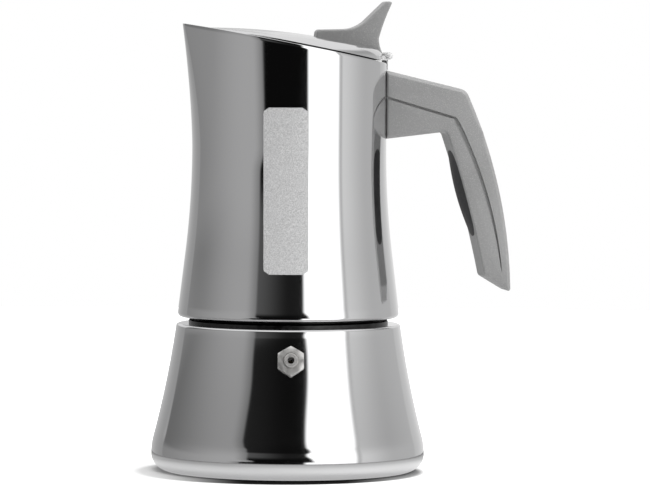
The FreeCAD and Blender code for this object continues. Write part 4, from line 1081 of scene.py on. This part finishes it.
def floor_paper():
    """White paper: it keeps the pot's shadow, and its own glow is seen, not cast.

    The steel mirrors the paper near the pot, and the studio beyond it. The disc right under
    the foot is darkened by a painted shadow. The camera's glow fades towards the pot, a painted
    shade, and mirrors see a painted glow close to the foot and the paper painted darker further
    out.
    """
    shader = Material("floor_white")
    ray = shader.node("LightPath").outputs
    mirrored = shader.maths("MAXIMUM", ray["Is Glossy Ray"], ray["Is Transmission Ray"])
    place = shader.place()
    from_axis = shader.node("VectorMath", {0: place}, operation="LENGTH").outputs[1]
    turned_place = shader.node("VectorRotate", {"Vector": place, "Angle": -CAMERA_TURN},
                               rotation_type="Z_AXIS").outputs[0]
    across = shader.node("SeparateXYZ", {0: turned_place}).outputs[0]
    # Painted shadow: a disc under the foot, set off towards the camera, painted near black in
    # the middle and greyer to the left and right.
    from_painted_shadow = shader.node("VectorMath", {0: turned_place, 1: (-0.003, -0.009, 0)},
                             operation="DISTANCE").outputs[1]
    painted_shadow_mask = shader.ramp(from_painted_shadow, 0.0525, 0.0565, 1.0, 0.0)
    shade = shader.add(shader.ramp(across, -0.058, -0.015, 0.70, 0.008),
                       shader.ramp(across, 0.020, 0.052, 0.0, 0.27))
    paper = shader.mix(painted_shadow_mask, (0.90, 0.90, 0.90, 1), grey_of(shader, shade))
    # Painted reflection: mirrors see the paper darker the further it lies from the pot.
    mirrored_tone_painted = grey_of(shader, shader.ramp(from_axis, 0.058, 0.115, 0.43, 0.17))
    paint = shader.node("BsdfDiffuse", {"Color": shader.mix(mirrored, paper, mirrored_tone_painted)})
    # The camera's glow is weak near the pot and none over the painted shadow, a painted shade;
    # mirrors get a painted glow close to the foot.
    glow = shader.times(ray["Is Camera Ray"], shader.ramp(from_axis, 0.055, 0.13, 0.04, 0.5))
    glow = shader.times(glow, shader.less(1.0, painted_shadow_mask))
    glow = shader.maths("MULTIPLY_ADD", mirrored,
                        shader.ramp(from_axis, 0.050, 0.068, 0.40, 0.0), glow)
    shine = shader.node("Emission", {"Color": (1, 1, 1, 1), "Strength": glow})
    both = shader.node("AddShader", {0: paint.outputs[0], 1: shine.outputs[0]})
    shader.node("OutputMaterial", {"Surface": both.outputs[0]})
    return shader.material


def make_floor():
    """A near disc of paper that mirrors show, and a far ring that they don't, in metres."""
    material = floor_paper()
    around, near, far = 96, 0.115, 1.1
    for name, inner, outer in (("floor_near", 0.0, near), ("floor_far", near, far)):
        data = tube([[polar(radius, 2 * pi * step / around) for radius in (inner, outer)]
                     for step in range(around)], True)
        mesh = bpy.data.meshes.new(name)
        data.to_mesh(mesh)
        data.free()
        mesh.materials.append(material)
        floor = linked(name, mesh)
        floor.visible_glossy = inner == 0


class Sky(Shader):
    """The studio's tree: where a ray heads, and masks by its heading.

    The heading is 0 behind the camera, 90 over the handle and 180 behind the pot; the rise
    is the sine of the height over the horizon.
    """

    def __init__(self, tree):
        super().__init__(tree)
        axes = self.node("SeparateXYZ", {0: self.place("Generated")}).outputs
        heading = self.maths("ARCTAN2", axes[0], self.times(axes[1], -1.0))
        heading = self.less(self.times(heading, 180 / pi), degrees(CAMERA_TURN))
        self.heading = self.maths("WRAP", heading, 180.0, -180.0)
        self.rise = axes[2]

    def after(self, edge, soft):
        """0 before the edge and 1 after it; the edge may lean."""
        return self.ramp(self.less(self.heading, edge), -soft, soft)

    def between(self, low, high, soft_low, soft_high):
        return self.times(self.after(low, soft_low),
                          self.less(1.0, self.after(high, soft_high)))

    def by_heading(self, low, high, start, stop):
        return self.ramp(self.heading, low, high, start, stop)

    def by_rise(self, low, high, start=0.0, stop=1.0):
        return self.ramp(self.rise, low, high, start, stop)


FLAG_LEFT = -41.0
FLAG_RIGHT = 15.0
FLAG_STEPS = ((-0.052, -0.040, 13.0, 8.0), (-0.03, 0.02, -6.0, -1.5),
              (0.02, 0.16, 0.5, -4.9), (0.19, 0.26, -1.5, 3.4), (0.28, 0.40, -5.5, -3.5))
WINDOW_FRAME = 4.5
WINDOW_LIGHT = 1.55
BACK_LEFT = -131.5
BACK_RIGHT = 137.0
CEILING_LIGHT = 0.92


def wall_light(sky, flag_left):
    """The two plain walls; the left one darkens towards the flag."""
    left = sky.by_heading(-132.0, -50.0, sky.by_rise(0.02, 0.12, 0.29, 0.18), 0.45)
    to_flag = sky.ramp(sky.less(sky.heading, flag_left), -13.0, 2.0, 1.0, 0.55)
    right = sky.by_heading(60.0, 104.0, 0.80, 0.54)
    level = sky.over(sky.times(left, to_flag), sky.after(0.0, 1.0), right)
    return sky.times(level, sky.by_rise(0.05, 0.36, 1.0, 0.78))


def flag_light(sky):
    """The black flag, with a little haze at the height of the room."""
    haze = sky.times(sky.by_rise(0.02, 0.12), sky.by_rise(0.20, 0.24, 1.0, 0.12))
    return sky.maths("MULTIPLY_ADD", haze, sky.by_heading(-38.0, 2.0, 0.10, 0.010), 0.004)


def backdrop_light(sky):
    """The pale backdrop behind the pot."""
    level = sky.over(sky.by_heading(-180.0, -132.0, 0.60, 0.36), sky.after(0.0, 1.0),
                     sky.by_heading(BACK_RIGHT, 175.0, 0.62, 0.84))
    return sky.over(level, sky.by_rise(0.08, 0.2), 0.80)


def make_world():
    """A studio seen from the pot: walls, a black flag, a soft window and a pale backdrop."""
    world = bpy.data.worlds.new("studio")
    bpy.context.scene.world = world
    world.use_nodes = True
    sky = Sky(world.node_tree)
    flag_left, flag_right = FLAG_LEFT, FLAG_RIGHT
    for low, high, left, right in FLAG_STEPS:
        flag_left = sky.add(flag_left, sky.by_rise(low, high, 0.0, left))
        flag_right = sky.add(flag_right, sky.by_rise(low, high, 0.0, right))
    window_right = sky.by_rise(0.25, 0.42, 61.0, 64.5)
    frame_right = sky.add(window_right, WINDOW_FRAME)
    behind = sky.maths("MAXIMUM", sky.after(BACK_RIGHT, 1.5),
                       sky.less(1.0, sky.after(BACK_LEFT, 1.5)))
    level = wall_light(sky, flag_left)
    for mask, light in (
            (sky.between(flag_left, flag_right, 1.5, 2.0), flag_light(sky)),
            (sky.between(window_right, frame_right, 1.0, 1.5), 0.56),
            (sky.between(flag_right, window_right, 2.0, 2.5), WINDOW_LIGHT),
            (behind, backdrop_light(sky)),
            (sky.by_rise(0.42, 0.62), CEILING_LIGHT),
            (sky.node("LightPath").outputs["Is Camera Ray"], 1.0)):
        level = sky.over(level, mask, light)
    background = sky.node("Background", {"Color": (1, 1, 1, 1), "Strength": level})
    sky.node("OutputWorld", {"Surface": background.outputs[0]})


def make_lamp(name, place, size, power):
    """A soft lamp, turned to the middle of the pot, that mirrors don't show."""
    light = bpy.data.lights.new(name, "AREA")
    light.size = size
    light.energy = power
    lamp = linked(name, light)
    lamp.location = place
    to_pot = Vector((0, 0, 0.1)) - Vector(place)
    lamp.rotation_euler = to_pot.to_track_quat("-Z", "Y").to_euler()
    lamp.visible_glossy = False
    lamp.visible_camera = False


def make_camera():
    """A long lens, swung round the pot's axis, so the handle points a little away from it."""
    camera = bpy.data.cameras.new("camera")
    camera.sensor_width = 36.0
    camera.lens = CAMERA_LENS
    camera.clip_start, camera.clip_end = 0.1, 50.0
    holder = linked("camera", camera)
    holder.matrix_world = (Matrix.Rotation(CAMERA_TURN, 4, "Z")
                           @ Matrix.Translation(CAMERA_PLACE)
                           @ Matrix.Rotation(CAMERA_PITCH, 4, "X")
                           @ Matrix.Rotation(CAMERA_ROLL, 4, "Z"))
    bpy.context.scene.camera = holder


bpy.context.scene.view_settings.view_transform = "Standard"
make_camera()
make_world()
make_floor()
make_lamp("key", (0.9, 0.35, 1.1), 0.8, 14.0)
make_lamp("top", (-0.1, -0.25, 1.5), 1.0, 12.0)

make_boiler()
make_thread()
make_collector()
make_bare_plate()
make_lid()
make_lid_knob()
make_bracket()
make_lid_hinge()
make_hinge_pin()
make_handle()
make_valve()
make_valve_spring()

OTHER_THAN_SATIN = {
    "boiler_shell": STEEL, "collector_body": STEEL, "lid": LID_STEEL,
    "gasket": SILICONE, "valve_washer": SILICONE, "valve_body": PLATING, "valve_nut": PLATING,
    "valve_seat": BRASS, "valve_poppet": BRASS,
    "handle": HANDLE_GREY, "grip_insert": GRIP_BLACK, "lid_knob": KNOB_GREY}
for name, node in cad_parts.items():
    node.data.materials.clear()
    node.data.materials.append(OTHER_THAN_SATIN.get(name, SATIN))
